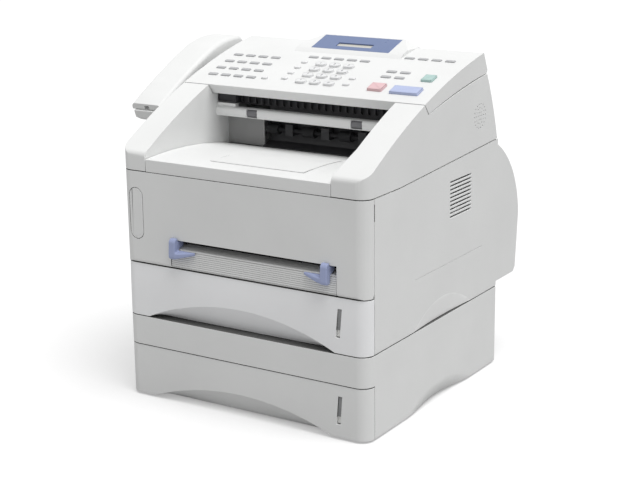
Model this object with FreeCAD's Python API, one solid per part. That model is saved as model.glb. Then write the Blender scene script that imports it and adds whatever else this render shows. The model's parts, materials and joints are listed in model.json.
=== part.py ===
import FreeCAD, Part
import math
import os
from FreeCAD import Vector

# Desktop laser fax machine with a handset at its left and a second paper cassette unit under it.
# While the pieces are made, x runs from the left side of the body to the right, y from the front
# face to the back, and z up from the table, all in millimetres. At the end they are moved so that
# the origin lies on the table under the middle of the whole object.

# Body
body_width = 372.0
body_depth = 355.0
wall = 3.0
seam = 1.0
play = 0.3
bearing_play = 0.05
front_wrap = 17.7
corner_radius = 17.0

# Heights of the horizontal seams
foot_height = 2.5
lower_cassette_top = 71.5
main_unit_base = 112.7
upper_cassette_top = 184.7
front_cover_top = 309.0
side_seam_bend_y = 80.0
side_seam_rear_z = 324.0

# Rear bulge of the main unit
bulge_reach = 424.5
bulge_middle_z = 204.0
bulge_foot_inset = 7.5
bulge_shoulder = 9.0
bulge_bow = 17.0
bulge_foot_z = 126.0
bulge_floor_z = 119.5

# Side cover shell and its hand-hold
cover_depth = 14.0
hold_centre_y = 196.0
hold_half_span = 80.0
hold_rise = 28.0
hold_depth = 11.0
lower_hold_centre_y = 191.0
lower_hold_half_span = 90.0
lower_hold_rise = 24.0

# Fine crease along the side covers
crease_z = 181.7
crease_height = 0.7
crease_depth = 0.3
crease_front_y = 120.0
crease_rear_y = 310.0

# Louvre vent in the right side cover
vent_front_y = 214.0
vent_length = 60.5
vent_base_z = 241.5
vent_slots = 10
vent_pitch = 5.2
vent_slot_height = 2.4

# Feet
foot_radius = 9.0
foot_inset_x = 36.0
foot_front_y = 45.0
foot_rear_inset = 35.0

# Cassettes
grip_offset = -4.5
upper_grip_half_span = 144.0
upper_grip_rise = 32.0
lower_grip_half_span = 139.0
lower_grip_rise = 27.0
grip_depth = 15.0
window_inset = 39.4
window_width = 5.8
window_lean = 2.6
window_height = 37.0
window_top_gap = 14.5
tray_margin_left = 66.0
tray_margin_right = 38.0
tray_length = 305.0
tray_wall = 2.5
tray_height = 62.0
lift_plate_length = 176.0
lift_plate_thickness = 1.6
lift_pin_radius = 2.5
flag_height = 9.0

# Chassis
frame_sheet = 3.0
frame_margin_left = 46.0
frame_margin_right = 20.0
frame_front = 22.0
frame_rear_inset = 20.0
frame_deck_z = 187.0
frame_top = 305.0
shelf_z = 262.0
shelf_front = 145.0
shelf_rear = 292.0

# Machinery
laser_inset = 10.0
laser_width = 210.0
laser_taper = 15.0
laser_height = 26.0
mirror_motor_radius = 18.0
drum_rear = 212.0
drum_length = 112.0
drum_cover_depth = 42.0
drum_height = 52.0
drum_tray_height = 18.0
drum_radius = 12.0
toner_overhang = 54.0
toner_height = 46.0
toner_grip = 80.0
fuser_depth = 60.0
fuser_height = 56.0
fuser_roller_radius = 10.0
motor_radius = 21.0
motor_depth = 12.0
motor_y = 243.0
motor_z = 209.0
board_thickness = 1.6
board_front = 60.0

# Pickup rollers
pickup_y = 76.0
pickup_radius = 14.0
pickup_length = 60.0
pickup_shaft_radius = 3.0
pickup_rise = 13.4

# Print path and manual feed
paper_offset = 14.0
paper_width = 220.0
manual_slot_margin_left = 3.0
manual_slot_margin_right = 9.0
manual_slot_top = 224.0
manual_lip_z = 211.0
manual_rib_pitch = 2.6
manual_rib_count = 9
guide_width = 10.0
guide_overhang = 9.0
guide_tongue = 27.0
guide_crown_z = 227.5

# Front cover hinge and blanking plate
cover_hinge_radius = 5.0
hinge_pin_radius = 2.0
hinge_arm_radius = 2.8
hinge_ear_height = 9.0
hinge_ear_width = 4.0
blank_centre_x = 23.0
blank_width = 22.5
blank_base_z = 217.8
blank_height = 69.4
line_gap = 0.8

# Top housing: one large arc runs along the arms and the control panel
arm_left = 40.5
arm_margin_right = 42.0
arm_flare = 7.7
arm_flare_run = 55.0
nose_z = 333.5
panel_front_y = 143.4
panel_front_z = 402.6
panel_rear_y = 306.0
panel_rear_z = 446.3
panel_lip_y = 153.8
panel_lip_z = 389.4
panel_base_middle_y = 210.0
panel_base_middle_z = 401.8
panel_base_rear_y = 317.0
panel_base_rear_z = 418.4
rear_slope_bow = 2.5
rear_slope_inset = 4.0
nose_radius = 9.0
cavity_depth = 186.0
cavity_wall_width = 59.5
speaker_y = 297.0
speaker_z = 363.5
speaker_hole_pitch = 5.4
speaker_hole_radius = 1.1
speaker_rings = 3
speaker_rim_radius = 24.0
hatch_margin = 6.0
arm_rib_y = 60.0

# Output tray and flap
tray_front_z = 326.0
tray_crown_y = 80.0
tray_crown_z = 327.8
tray_rear_y = 178.0
tray_rear_z = 316.5
tray_plate = 5.0
flap_width = 140.0
flap_offset = -3.0
flap_front = 26.0
flap_rear = 118.0
flap_thickness = 2.2
flap_pin_radius = 1.0
flap_gap = 0.8

# Document and paper exits
bar_front_y = 158.0
bar_depth = 12.0
bar_base_z = 358.0
bar_height = 13.0
exit_block_width = 30.0
exit_block_rise = 4.5
exit_roller_centre = 140.9
exit_roller_radius = 5.0
exit_roller_length = 16.0
exit_roller_spread = 82.0
scanner_front_y = 178.0
scanner_rear_y = 300.0
scanner_base_z = 374.0
scanner_top_z = 390.0
scanner_sink = 2.0
comb_pitch = 11.0
comb_depth = 6.0
paper_roller_y = 192.0
paper_roller_z = 340.0
paper_roller_radius = 7.0
paper_roller_length = 18.0
paper_roller_count = 4

# Control panel hinge, display pod and keys
panel_hinge_y = 313.0
panel_hinge_z = 422.4
panel_hinge_radius = 4.0
panel_ear_x = 24.0
panel_ear_width = 5.0
entry_margin_left = 68.0
entry_margin_right = 77.0
entry_base_z = 421.5
entry_height = 6.5
bezel_offset = 2.0
bezel_width = 122.0
bezel_length = 41.0
bezel_thickness = 2.0
pod_front_y = 267.0
pod_angle = 18.0
pod_lip = 4.0
pod_margin = 3.0
pod_key_gap = 3.5
lcd_width = 58.0
lcd_length = 13.0
lcd_front = 8.5
key_gap = 0.4
key_flange = 1.0
key_skirt = 1.2
key_travel = 1.2

# Handset and cradle
handset_left = -58.5
handset_width = 50.0
handset_length = 205.0
handset_front_y = 100.0
handset_front_z = 373.0
handset_tilt = 20.5
handset_crown = 18.5
handset_crown_along = 128.0
handset_front_bow = 2.0
handset_end_height = 3.0
handset_cup_depth = 6.0
handset_cup_length = 58.0
handset_edge = 6.0
cradle_left = -54.0
cradle_thickness = 19.0
cradle_chamfer = 9.0
cradle_rim = 3.0
hook_travel = 4.0

# Places that follow from the sizes above
middle_width = body_width / 2
paper_centre_x = middle_width + paper_offset
grip_centre_x = middle_width + grip_offset
window_x = body_width - window_inset
tray_left = tray_margin_left
tray_right = body_width - tray_margin_right
frame_left = frame_margin_left
frame_right = body_width - frame_margin_right
frame_rear = body_depth - frame_rear_inset
arm_right = body_width - arm_margin_right
guide_left_x = paper_centre_x - paper_width / 2
guide_right_x = paper_centre_x + paper_width / 2
manual_slot_left = guide_left_x - guide_width - manual_slot_margin_left
manual_slot_right = guide_right_x + guide_width + manual_slot_margin_right
rear_slope_foot_y = body_depth - rear_slope_inset
bulge_foot_y = bulge_reach - bulge_foot_inset
cavity_wall_right = arm_left + cavity_wall_width
flap_left = paper_centre_x + flap_offset - flap_width / 2
flap_right = flap_left + flap_width
rib_front = speaker_y + speaker_rim_radius + 1
paper_roller_pitch = (arm_right - cavity_wall_right) / paper_roller_count
paper_roller_first_x = cavity_wall_right + 4 * play + wall
entry_left = entry_margin_left
entry_right = body_width - entry_margin_right
bezel_left = middle_width + bezel_offset - bezel_width / 2

shapes = {}


def box(x0, x1, y0, y1, z0, z1):
    return Part.makeBox(x1 - x0, y1 - y0, z1 - z0, Vector(x0, y0, z0))


def rod_x(x0, x1, y, z, radius):
    return Part.makeCylinder(radius, x1 - x0, Vector(x0, y, z), Vector(1, 0, 0))


def closed_face(points, place):
    """Face inside a closed outline. A point of two values ends a straight line, and a point of four
    values ends an arc: the arc's middle comes first."""
    edges = []
    here = place(*points[0][-2:])
    for point in points[1:] + points[:1]:
        there = place(*point[-2:])
        if len(point) == 4:
            edges.append(Part.Arc(here, place(*point[:2]), there).toShape())
        elif (there - here).Length > 1e-6:
            edges.append(Part.LineSegment(here, there).toShape())
        here = there
    return Part.Face(Part.Wire(edges))


def bowed(start, end, bow):
    """Middle of an arc that bows to the left of the way from start to end, in the side view"""
    along_y = end[0] - start[0]
    along_z = end[1] - start[1]
    length = math.hypot(along_y, along_z)
    return ((start[0] + end[0]) / 2 - bow * along_z / length, (start[1] + end[1]) / 2 + bow * along_y / length)


def prism_x(points, x0, x1):
    return closed_face(points, lambda y, z: Vector(x0, y, z)).extrude(Vector(x1 - x0, 0, 0))


def prism_y(points, y0, y1):
    return closed_face(points, lambda x, z: Vector(x, y0, z)).extrude(Vector(0, y1 - y0, 0))


def prism_z(points, z0, z1):
    return closed_face(points, lambda x, y: Vector(x, y, z0)).extrude(Vector(0, 0, z1 - z0))


def joined(*pieces):
    return pieces[0].fuse(list(pieces[1:])).removeSplitter()


def cut_all(shape, tools):
    return shape.cut(list(tools)).removeSplitter()


def mirrored(shape, x):
    return shape.mirror(Vector(x, 0, 0), Vector(1, 0, 0))


def rounded_rectangle(width, length, radius):
    half_w = width / 2
    half_l = length / 2
    bulge = radius * (1 - math.sqrt(0.5))
    inner_w = half_w - radius
    inner_l = half_l - radius
    return [
        (-inner_w, -half_l), (inner_w, -half_l),
        (half_w - bulge, -half_l + bulge, half_w, -inner_l), (half_w, inner_l),
        (half_w - bulge, half_l - bulge, inner_w, half_l), (-inner_w, half_l),
        (-half_w + bulge, half_l - bulge, -half_w, inner_l), (-half_w, -inner_l),
        (-half_w + bulge, -half_l + bulge, -inner_w, -half_l),
    ]


def pill(centre_x, base_z, width, height, y0, y1):
    """Upright plate with fully round ends"""
    radius = width / 2
    top = base_z + height - radius
    foot = base_z + radius
    left = centre_x - radius
    right = centre_x + radius
    points = [(left, foot), (centre_x, base_z, right, foot), (right, top),
              (centre_x, base_z + height, left, top)]
    return prism_y(points, y0, y1)


def front_plan(inset, back):
    """Plan of a front piece: flat front with round corners that turn onto the two sides"""
    left = inset
    right = body_width - inset
    bulge = (corner_radius - inset) * (1 - math.sqrt(0.5))
    return [(left, back), (left, corner_radius), (left + bulge, inset + bulge, corner_radius, inset),
            (body_width - corner_radius, inset),
            (right - bulge, inset + bulge, right, corner_radius), (right, back)]


def grip_tool(half_span, rise, depth, backing=0.0):
    """Long tilted cylinder that scoops an arched finger grip out of a wall at y = 0 above z = 0.
    The scoop is deepest at the foot of the wall, and backing makes the cylinder that much larger."""
    slope = math.hypot(rise, depth)
    reach = depth * rise / slope
    radius = (half_span ** 2 + reach ** 2) / (2 * reach)
    along = Vector(0, -depth, rise) * (1 / slope)
    outward = Vector(0, -rise, -depth) * (1 / slope)
    middle = Vector(0, depth, 0) + outward * radius
    length = 4 * slope
    return Part.makeCylinder(radius + backing, length, middle - along * (length / 2), along)


def arched_grip(half_span, rise, depth):
    """Solid of the finger grip under a cassette front, at y = 0 and z = 0: an arch at the front that
    slopes back to a straight foot"""
    left = Vector(-half_span, 0, 0)
    right = Vector(half_span, 0, 0)
    arch = Part.Arc(left, Vector(0, 0, rise), right).toShape()
    rear_left = Vector(-half_span, depth, 0)
    rear_right = Vector(half_span, depth, 0)
    slope = Part.makeRuledSurface(arch, Part.LineSegment(rear_left, rear_right).toShape())
    front = Part.Face(Part.Wire([arch, Part.LineSegment(right, left).toShape()]))
    base = Part.Face(Part.makePolygon([left, right, rear_right, rear_left, left]))
    shell = Part.makeShell([slope, front, base])
    shell.sewShape()
    return Part.makeSolid(shell)


def side_grip(centre_y, base_z, half_span, rise, depth, backing=0.0):
    """The same scoop in the left side of the body, where the wall is at x = 0"""
    tool = grip_tool(half_span, rise, depth, backing)
    tool.rotate(Vector(0, 0, 0), Vector(0, 0, 1), -90)
    tool.translate(Vector(0, centre_y, base_z))
    return tool


def backed_grip(centre_y, base_z, half_span, rise):
    """Wall of the hand-hold pocket behind the left side"""
    block = box(0, hold_depth + wall, centre_y - half_span - wall, centre_y + half_span + wall,
                base_z, base_z + rise + wall)
    return block.common(side_grip(centre_y, base_z, half_span, rise, hold_depth, wall))


# The lower paper unit

strip_base = lower_cassette_top + seam
lower_unit_top = main_unit_base - seam / 2
side_start = front_wrap + seam
pan_top = foot_height + wall
lower_pickup_z = lower_cassette_top + pickup_rise + seam
roller_plate_front = pickup_y - 20
roller_plate_rear = pickup_y + 20
unit_base = main_unit_base + seam / 2


def lower_housing():
    lower = box(0, body_width, side_start, body_depth, foot_height, strip_base)
    upper = prism_z(front_plan(0, body_depth), strip_base, lower_unit_top)
    bay = box(wall, body_width - wall, side_start - 1, body_depth - wall, pan_top, strip_base)
    loft = prism_z(front_plan(wall, body_depth - wall), strip_base, lower_unit_top - wall)
    shell = cut_all(joined(lower, upper), [bay, loft])
    left_pocket = backed_grip(lower_hold_centre_y, foot_height, lower_hold_half_span, lower_hold_rise)
    shell = joined(shell, left_pocket, mirrored(left_pocket, body_width / 2))
    scoop = side_grip(lower_hold_centre_y, foot_height, lower_hold_half_span, lower_hold_rise, hold_depth)
    paper_slot = box(tray_left + 20, tray_right - 20, 30, 52, lower_unit_top - wall - 1, lower_unit_top + 1)
    shell = cut_all(shell, [scoop, mirrored(scoop, body_width / 2), paper_slot])
    plates = []
    for x in (frame_left, frame_right - frame_sheet):
        runner = box(x, x + frame_sheet, 40, body_depth - wall, pan_top, pan_top + 20)
        hanger = box(x, x + frame_sheet, roller_plate_front, roller_plate_rear, strip_base + 1,
                     lower_unit_top - wall)
        hole = rod_x(x - 1, x + frame_sheet + 1, pickup_y, lower_pickup_z,
                     pickup_shaft_radius + bearing_play)
        plates += [runner, hanger.cut(hole)]
    pads = []
    for x in (foot_inset_x, body_width - foot_inset_x):
        for y in (foot_front_y, body_depth - foot_rear_inset):
            pads.append(Part.makeCylinder(foot_radius, unit_base - lower_unit_top + 1,
                                          Vector(x, y, lower_unit_top - 1)))
    return joined(shell, *plates, *pads)


def rubber_feet():
    feet = []
    for x in (foot_inset_x, body_width - foot_inset_x):
        for y in (foot_front_y, body_depth - foot_rear_inset):
            foot = Part.makeCone(foot_radius - 1, foot_radius, foot_height, Vector(x, y, 0))
            feet.append(foot)
    return Part.makeCompound(feet)


def pickup_roller(z):
    shaft = rod_x(frame_left - 1, frame_right + 1, pickup_y, z, pickup_shaft_radius)
    left = paper_centre_x - pickup_length / 2
    sleeve = rod_x(left, left + pickup_length, pickup_y, z, pickup_radius)
    for x in (left - 6, left + pickup_length + 2):
        sleeve = sleeve.fuse(rod_x(x, x + 4, pickup_y, z, pickup_radius - 4))
    return joined(shaft, sleeve)


# Both paper cassettes have the same parts, at two heights

def window_outline(top_z, margin):
    foot_z = top_z - window_height
    half = window_width / 2 + margin
    return [(window_x - window_lean - half, foot_z - margin), (window_x - window_lean + half, foot_z - margin),
            (window_x + half, top_z + margin), (window_x - half, top_z + margin)]


def cassette_front(base_z, top_z, half_span, rise):
    block = prism_z(front_plan(0, front_wrap), base_z, top_z)
    scoop = arched_grip(half_span, rise, grip_depth)
    scoop.translate(Vector(grip_centre_x, 0, base_z))
    hollow = box(corner_radius + wall, body_width - corner_radius - wall, wall, front_wrap + 1,
                 base_z + rise + wall, top_z - wall)
    window_top = top_z - window_top_gap
    window = prism_y(window_outline(window_top, 0), -1, front_wrap)
    flag_room = box(window_x - window_lean - 8, window_x + 6, wall, front_wrap + 1,
                    window_top - window_height - 5, top_z - wall)
    return cut_all(block, [scoop, hollow, window, flag_room])


def level_flag(top_z):
    """White flag that shows in the cassette's window, just behind its front wall"""
    foot = top_z - window_top_gap - window_height + 1
    x = window_x - window_lean
    flag = box(x - 5, x + 6, wall + play, wall + play + 2, foot, foot + flag_height)
    stem = box(x - 2, x + 2, wall + play + 2, front_wrap - 1, foot, foot + 3)
    return joined(flag, stem)


tray_rear = front_wrap + tray_length
lift_pivot_y = front_wrap + tray_wall + 6 + lift_plate_length


def lift_pivot_z(floor_z):
    return floor_z + tray_wall + play + lift_pin_radius


def cassette_tray(floor_z):
    outer = box(tray_left, tray_right, front_wrap, tray_rear, floor_z, floor_z + tray_height)
    inner = box(tray_left + tray_wall, tray_right - tray_wall, front_wrap + tray_wall, tray_rear - tray_wall,
                floor_z + tray_wall, floor_z + tray_height + 1)
    low_front = box(tray_left + 30, tray_right - 30, front_wrap - 1, front_wrap + tray_wall + 1,
                    floor_z + tray_height - 14, floor_z + tray_height + 1)
    pivot = rod_x(tray_left - 1, tray_right + 1, lift_pivot_y, lift_pivot_z(floor_z),
                  lift_pin_radius + bearing_play)
    flag_slot = box(window_x - window_lean - 4, window_x + 4, front_wrap - 1, front_wrap + tray_wall + 1,
                    floor_z + tray_wall, floor_z + tray_height + 1)
    return cut_all(outer, [inner, low_front, pivot, flag_slot])


def lift_plate(floor_z):
    left = tray_left + tray_wall + play
    right = tray_right - tray_wall - play
    z = lift_pivot_z(floor_z)
    base = z - lift_plate_thickness / 2
    plate = box(left, right, lift_pivot_y - lift_plate_length, lift_pivot_y, base, base + lift_plate_thickness)
    notch = box(paper_centre_x - 20, paper_centre_x + 20, lift_pivot_y - lift_plate_length - 1,
                lift_pivot_y - lift_plate_length + 22, base - 1, base + lift_plate_thickness + 1)
    pins = [rod_x(tray_left, left + 6, lift_pivot_y, z, lift_pin_radius),
            rod_x(right - 6, tray_right, lift_pivot_y, z, lift_pin_radius)]
    return joined(plate.cut(notch), *pins)


# The main unit

deck_top = frame_deck_z + frame_sheet
upper_pickup_z = deck_top + pickup_rise - 5.5
side_seam_z = front_cover_top
cover_hinge_y = cover_hinge_radius
cover_base = upper_cassette_top + seam
cover_hinge_z = cover_base + cover_hinge_radius


def bulge_arc(inset):
    """Rounded back of the main unit: where it starts under its shoulder, its middle and its end"""
    start = (rear_slope_foot_y + wall - inset, side_seam_rear_z - bulge_shoulder - inset)
    end = (bulge_reach - inset, bulge_middle_z)
    return start, bowed(start, end, bulge_bow) + end


def side_profile(inset):
    """Side cover seen from the side, with the rounded bulge at its rear"""
    shoulder, bulge = bulge_arc(inset)
    foot_rear = bulge_foot_y - 2 * wall
    return [
        (side_start + inset, unit_base + inset), (side_start + inset, side_seam_z - inset),
        (side_seam_bend_y, side_seam_z - inset), (shoulder[0], side_seam_rear_z - seam - inset),
        shoulder, bulge, (bulge_foot_y - inset, bulge_foot_z + inset), (foot_rear, bulge_floor_z + inset),
        (body_depth - inset, bulge_floor_z + inset), (body_depth - inset, unit_base + inset),
    ]


rear_pin_radius = 3.0
rear_pin_y = bulge_foot_y - 3 * wall
rear_pin_z = bulge_foot_z + rear_pin_radius + wall + 2


def side_cover():
    """Left side cover: a shallow tray, with a hand-hold pocket and a boss for the rear cover's pin"""
    shell = prism_x(side_profile(0), 0, cover_depth).cut(prism_x(side_profile(wall), wall, cover_depth + 1))
    pocket = backed_grip(hold_centre_y, unit_base, hold_half_span, hold_rise)
    scoop = side_grip(hold_centre_y, unit_base, hold_half_span, hold_rise, hold_depth)
    boss = rod_x(wall - 1, cover_depth, rear_pin_y, rear_pin_z, rear_pin_radius + wall)
    pin_hole = rod_x(wall, cover_depth + 1, rear_pin_y, rear_pin_z, rear_pin_radius + bearing_play)
    crease = box(-1, crease_depth, crease_front_y, crease_rear_y, crease_z, crease_z + crease_height)
    return cut_all(joined(shell, pocket, boss), [scoop, pin_hole, crease])


inlet_width = 28.0
inlet_y = frame_rear - inlet_width - 2
inlet_z = 158.0
inlet_height = 21.0
socket_depth = 16.0
jack_z = 226.0
jack_pitch = 18.0
jack_width = 15.0
jack_height = 14.0
jack_count = 3
jack_first_y = frame_rear - jack_pitch * jack_count


def left_side_cover():
    sockets = [box(-1, wall + 1, inlet_y - play, inlet_y + inlet_width + play,
                   inlet_z - play, inlet_z + inlet_height + play)]
    for index in range(jack_count):
        y = jack_first_y + index * jack_pitch
        sockets.append(box(-1, wall + 1, y - play, y + jack_width + play, jack_z - play,
                           jack_z + jack_height + play))
    return cut_all(side_cover(), sockets)


def right_side_cover():
    cover = mirrored(side_cover(), body_width / 2)
    slots = []
    for index in range(vent_slots):
        z = vent_base_z + index * vent_pitch
        slots.append(box(body_width - wall - 1, body_width + 1, vent_front_y, vent_front_y + vent_length,
                         z, z + vent_slot_height))
    recess_foot = front_cover_top - 29
    recess_radius = 60.0
    recess_half = 11.0
    sink = math.sqrt(recess_radius ** 2 - recess_half ** 2)
    recess = Part.makeCylinder(recess_radius, 5.0, Vector(body_width - 1.6, side_start - 1, recess_foot
                               + recess_half), Vector(1, 0, 0))
    lens = recess.common(box(body_width - 2, body_width + 4, side_start - 1, side_start + recess_radius - sink,
                             recess_foot, recess_foot + 2 * recess_half))
    return cut_all(cover, slots + [lens])


def rear_cover():
    """Curved door between the two side covers, on two pins at its foot"""
    left = cover_depth + seam
    right = body_width - left
    top = side_seam_rear_z - seam

    def outline(inset, front):
        shoulder, bulge = bulge_arc(inset)
        return [(front, top - inset), (shoulder[0], top - inset), shoulder, bulge,
                (bulge_foot_y - inset, bulge_foot_z - inset), (front, bulge_foot_z - inset)]
    front = rear_slope_foot_y + seam
    shell = prism_x(outline(0, front), left, right)
    room = prism_x(outline(wall, front - 1), left + wall, right - wall)
    throat = box(left - 1, right + 1, front - 1, rear_pin_y - rear_pin_radius - wall, bulge_foot_z - 1,
                 bulge_foot_z + 2 * wall)
    shoulder = bulge_arc(0)[0]
    lip = box(left, right, front, shoulder[0], shoulder[1] - wall, top)
    shell = joined(shell.cut([room, throat]), lip)
    pins = [rod_x(wall + play, left + 8, rear_pin_y, rear_pin_z, rear_pin_radius),
            rod_x(right - 8, body_width - wall - play, rear_pin_y, rear_pin_z, rear_pin_radius)]
    return joined(shell, *pins)


def main_frame():
    """Chassis: floor pan, two side plates, a deck over the cassette and a shelf for the scanner"""
    floor = box(cover_depth, body_width - cover_depth, frame_front, frame_rear, unit_base,
                unit_base + frame_sheet)
    deck = box(frame_left, frame_right, frame_front, frame_rear, frame_deck_z, deck_top)
    shelf = box(frame_left, frame_right, shelf_front, shelf_rear, shelf_z, shelf_z + frame_sheet)
    parts = [floor, deck, shelf]
    for x in (frame_left, frame_right - frame_sheet):
        parts.append(box(x, x + frame_sheet, frame_front, frame_rear, unit_base, frame_top))
        parts.append(box(x, x + frame_sheet, cover_hinge_y, frame_front + 1, cover_hinge_z - hinge_arm_radius,
                         cover_hinge_z + hinge_arm_radius))
        parts.append(rod_x(x, x + frame_sheet, cover_hinge_y, cover_hinge_z, hinge_arm_radius))
    ledge = box(cover_depth, body_width - cover_depth, frame_rear - frame_sheet, bulge_foot_y - 16,
                bulge_floor_z, bulge_floor_z + frame_sheet)
    parts.append(ledge)
    frame = joined(*parts)
    left = paper_centre_x - pickup_length / 2 - 8
    openings = [box(left, left + pickup_length + 16, pickup_y - 17, pickup_y + 17, frame_deck_z - 1, deck_top + 1),
                box(tray_left + 20, tray_right - 20, 30, 52, frame_deck_z - 1, deck_top + 1),
                box(tray_left + 20, tray_right - 20, 30, 52, unit_base - 1, unit_base + frame_sheet + 1),
                rod_x(frame_left - 2, frame_right + 2, pickup_y, upper_pickup_z,
                      pickup_shaft_radius + bearing_play)]
    frame = frame.cut(openings)
    pins = [rod_x(frame_left, frame_left + frame_sheet + 5, cover_hinge_y, cover_hinge_z, hinge_pin_radius),
            rod_x(frame_right - frame_sheet - 5, frame_right, cover_hinge_y, cover_hinge_z, hinge_pin_radius)]
    return joined(frame, *pins)


def hinge_edge_cut():
    """Room round the front cover's hinge line, so that its foot turns without touching the cassette"""
    corner = box(-1, body_width + 1, -1, cover_hinge_y, cover_base - 1, cover_hinge_z)
    return corner.cut(rod_x(-2, body_width + 2, cover_hinge_y, cover_hinge_z, cover_hinge_radius))


def front_shell(outside, inside):
    outer = prism_z(front_plan(outside, front_wrap), cover_base, front_cover_top)
    return outer.cut(prism_z(front_plan(inside, front_wrap + 1), cover_base - 1, front_cover_top + 1))


def front_cover():
    shell = front_shell(0, wall)
    top_lip = prism_z(front_plan(wall - 0.5, front_wrap - 4), front_cover_top - wall, front_cover_top)
    ears = []
    reliefs = []
    ear_step = frame_sheet + play
    for x in (frame_left + ear_step, frame_right - ear_step - hinge_ear_width):
        reliefs.append(rod_x(x - frame_sheet - 1, x + hinge_ear_width + frame_sheet + 1, cover_hinge_y,
                             cover_hinge_z, hinge_arm_radius + 1))
        ear = box(x, x + hinge_ear_width, wall - 1.5, cover_hinge_y + 4, cover_hinge_z - 4.5,
                  cover_hinge_z + hinge_ear_height)
        ears.append(ear.cut(rod_x(x - 1, x + hinge_ear_width + 1, cover_hinge_y, cover_hinge_z,
                                  hinge_pin_radius + bearing_play)))
    slot = box(manual_slot_left, manual_slot_right, -1, front_wrap + 1, cover_base - 1, manual_slot_top)
    blank = pill(blank_centre_x, blank_base_z, blank_width, blank_height, -1, front_wrap)
    heel = prism_x([(front_wrap + 1, cover_hinge_z), (front_wrap + 1, cover_base - 1),
                    (front_wrap - 4, cover_base - 1), (front_wrap, cover_hinge_z)], -1, body_width + 1)
    cover = joined(shell.cut(reliefs), top_lip, *ears)
    return cut_all(cover, [slot, blank, heel, hinge_edge_cut()])


def blanking_plate():
    """Plain pill-shaped plate that closes the opening in the front cover, with a flange behind it"""
    face = front_shell(0, wall).common(pill(blank_centre_x, blank_base_z + line_gap, blank_width - 2 * line_gap,
                                            blank_height - 2 * line_gap, -1, front_wrap))
    flange_width = blank_width + 6
    flange = front_shell(wall, wall + 1.5)
    flange = flange.common(pill(blank_centre_x, blank_base_z - 3, flange_width, blank_height + 6, -1, front_wrap))
    flange = flange.cut(box(-1, blank_centre_x - blank_width / 2, -1, front_wrap, 0, front_cover_top))
    return joined(face, flange)


manual_foot_z = cover_base + seam
manual_face_y = 0.6
manual_face_lean = 1.2


def manual_feed_tray():
    """Ribbed plate at the foot of the front cover, with a lip that leads single sheets in"""
    lip_y = manual_face_y + manual_face_lean
    step_z = cover_hinge_z + hinge_arm_radius + play
    points = [(manual_face_y, manual_foot_z), (lip_y, manual_lip_z), (lip_y + 1.5, manual_lip_z + 1),
              (front_wrap + 4, manual_lip_z + 4), (front_wrap + 4, manual_lip_z + 1.5),
              (lip_y + 3, manual_lip_z - 2), (lip_y + 2.5, step_z + 1), (manual_face_y + 2, step_z),
              (manual_face_y + 2, manual_foot_z)]
    plate = prism_x(points, manual_slot_left + line_gap, manual_slot_right - line_gap)
    for x in (manual_slot_left - 4, manual_slot_right - line_gap - 4):
        plate = plate.fuse(box(x, x + 8 + line_gap, wall, wall + 2, cover_hinge_z + hinge_ear_height + play,
                               manual_lip_z))
    grooves = []
    for index in range(manual_rib_count):
        z = manual_foot_z + 1.6 + index * manual_rib_pitch
        lean = manual_face_lean * (z - manual_foot_z) / (manual_lip_z - manual_foot_z)
        grooves.append(box(manual_slot_left, manual_slot_right, -1, manual_face_y + lean + 0.7, z, z + 0.9))
    return cut_all(plate, grooves + [hinge_edge_cut()])


def manual_guide():
    """Left paper guide: a rounded fin that stands in the slot, with a tapered tongue towards the middle"""
    inner_x = guide_left_x
    face_y = manual_face_y - play
    lip_y = manual_face_y + manual_face_lean
    lip_z = manual_lip_z + play + 0.3
    front = -guide_overhang
    fin = [(face_y, manual_lip_z - 10), (front + 3, manual_lip_z - 11), (front + 0.9, manual_lip_z - 9.5, front,
           manual_lip_z - 7), (front + 1, guide_crown_z - 6), (front + 3.4, guide_crown_z - 1.2, front + 7,
           guide_crown_z), (-seam, guide_crown_z), (-seam, manual_slot_top - 1), (front_wrap - 6,
           manual_slot_top - 1.5), (front_wrap - 6, lip_z + 2.9), (lip_y + 1.5, lip_z + 1), (lip_y - 0.2, lip_z),
           (face_y + 0.6, lip_z - 0.6)]
    body = prism_x(fin, inner_x - guide_width, inner_x)
    tip_x = inner_x + guide_tongue
    tongue = prism_z([(inner_x - 1, face_y), (inner_x - 1, front + 0.5), (inner_x + 6, front + 1.5),
                      (tip_x, -2), (tip_x, face_y)], manual_lip_z - 9, manual_lip_z + 0.5)
    under = prism_y([(inner_x, manual_lip_z - 10), (tip_x + 1, manual_lip_z - 10), (tip_x + 1, manual_lip_z - 3)],
                    front - 1, 2)
    slope = prism_x([(front - 1, manual_lip_z + 1), (front - 1, manual_lip_z - 3.5), (-0.5, manual_lip_z + 1)],
                    inner_x, tip_x + 1)
    return joined(body, tongue.cut([under, slope]))


# Machinery inside the main unit

def laser_scanner():
    """Flat scanner case on the chassis shelf, tapering to the rear, with its mirror motor on top"""
    base = shelf_z + frame_sheet
    front = shelf_front + laser_inset
    rear = shelf_rear - laser_inset
    wide = laser_width / 2
    narrow = wide - laser_taper

    def plan(step):
        return [(paper_centre_x - wide + step, front + step), (paper_centre_x + wide - step, front + step),
                (paper_centre_x + narrow - step, rear - step), (paper_centre_x - narrow + step, rear - step)]
    case = prism_z(plan(0), base, base + laser_height)
    lid = prism_z(plan(2 * wall), base + laser_height, base + laser_height + wall)
    motor = Part.makeCylinder(mirror_motor_radius, wall + 2, Vector(paper_centre_x, rear - 2 * mirror_motor_radius,
                                                                  base + laser_height + wall))
    window = box(paper_centre_x - narrow, paper_centre_x + narrow, front - 1, front + wall, base + 2 * wall,
                 base + laser_height / 2)
    return joined(case, lid, motor).cut(window)


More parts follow.
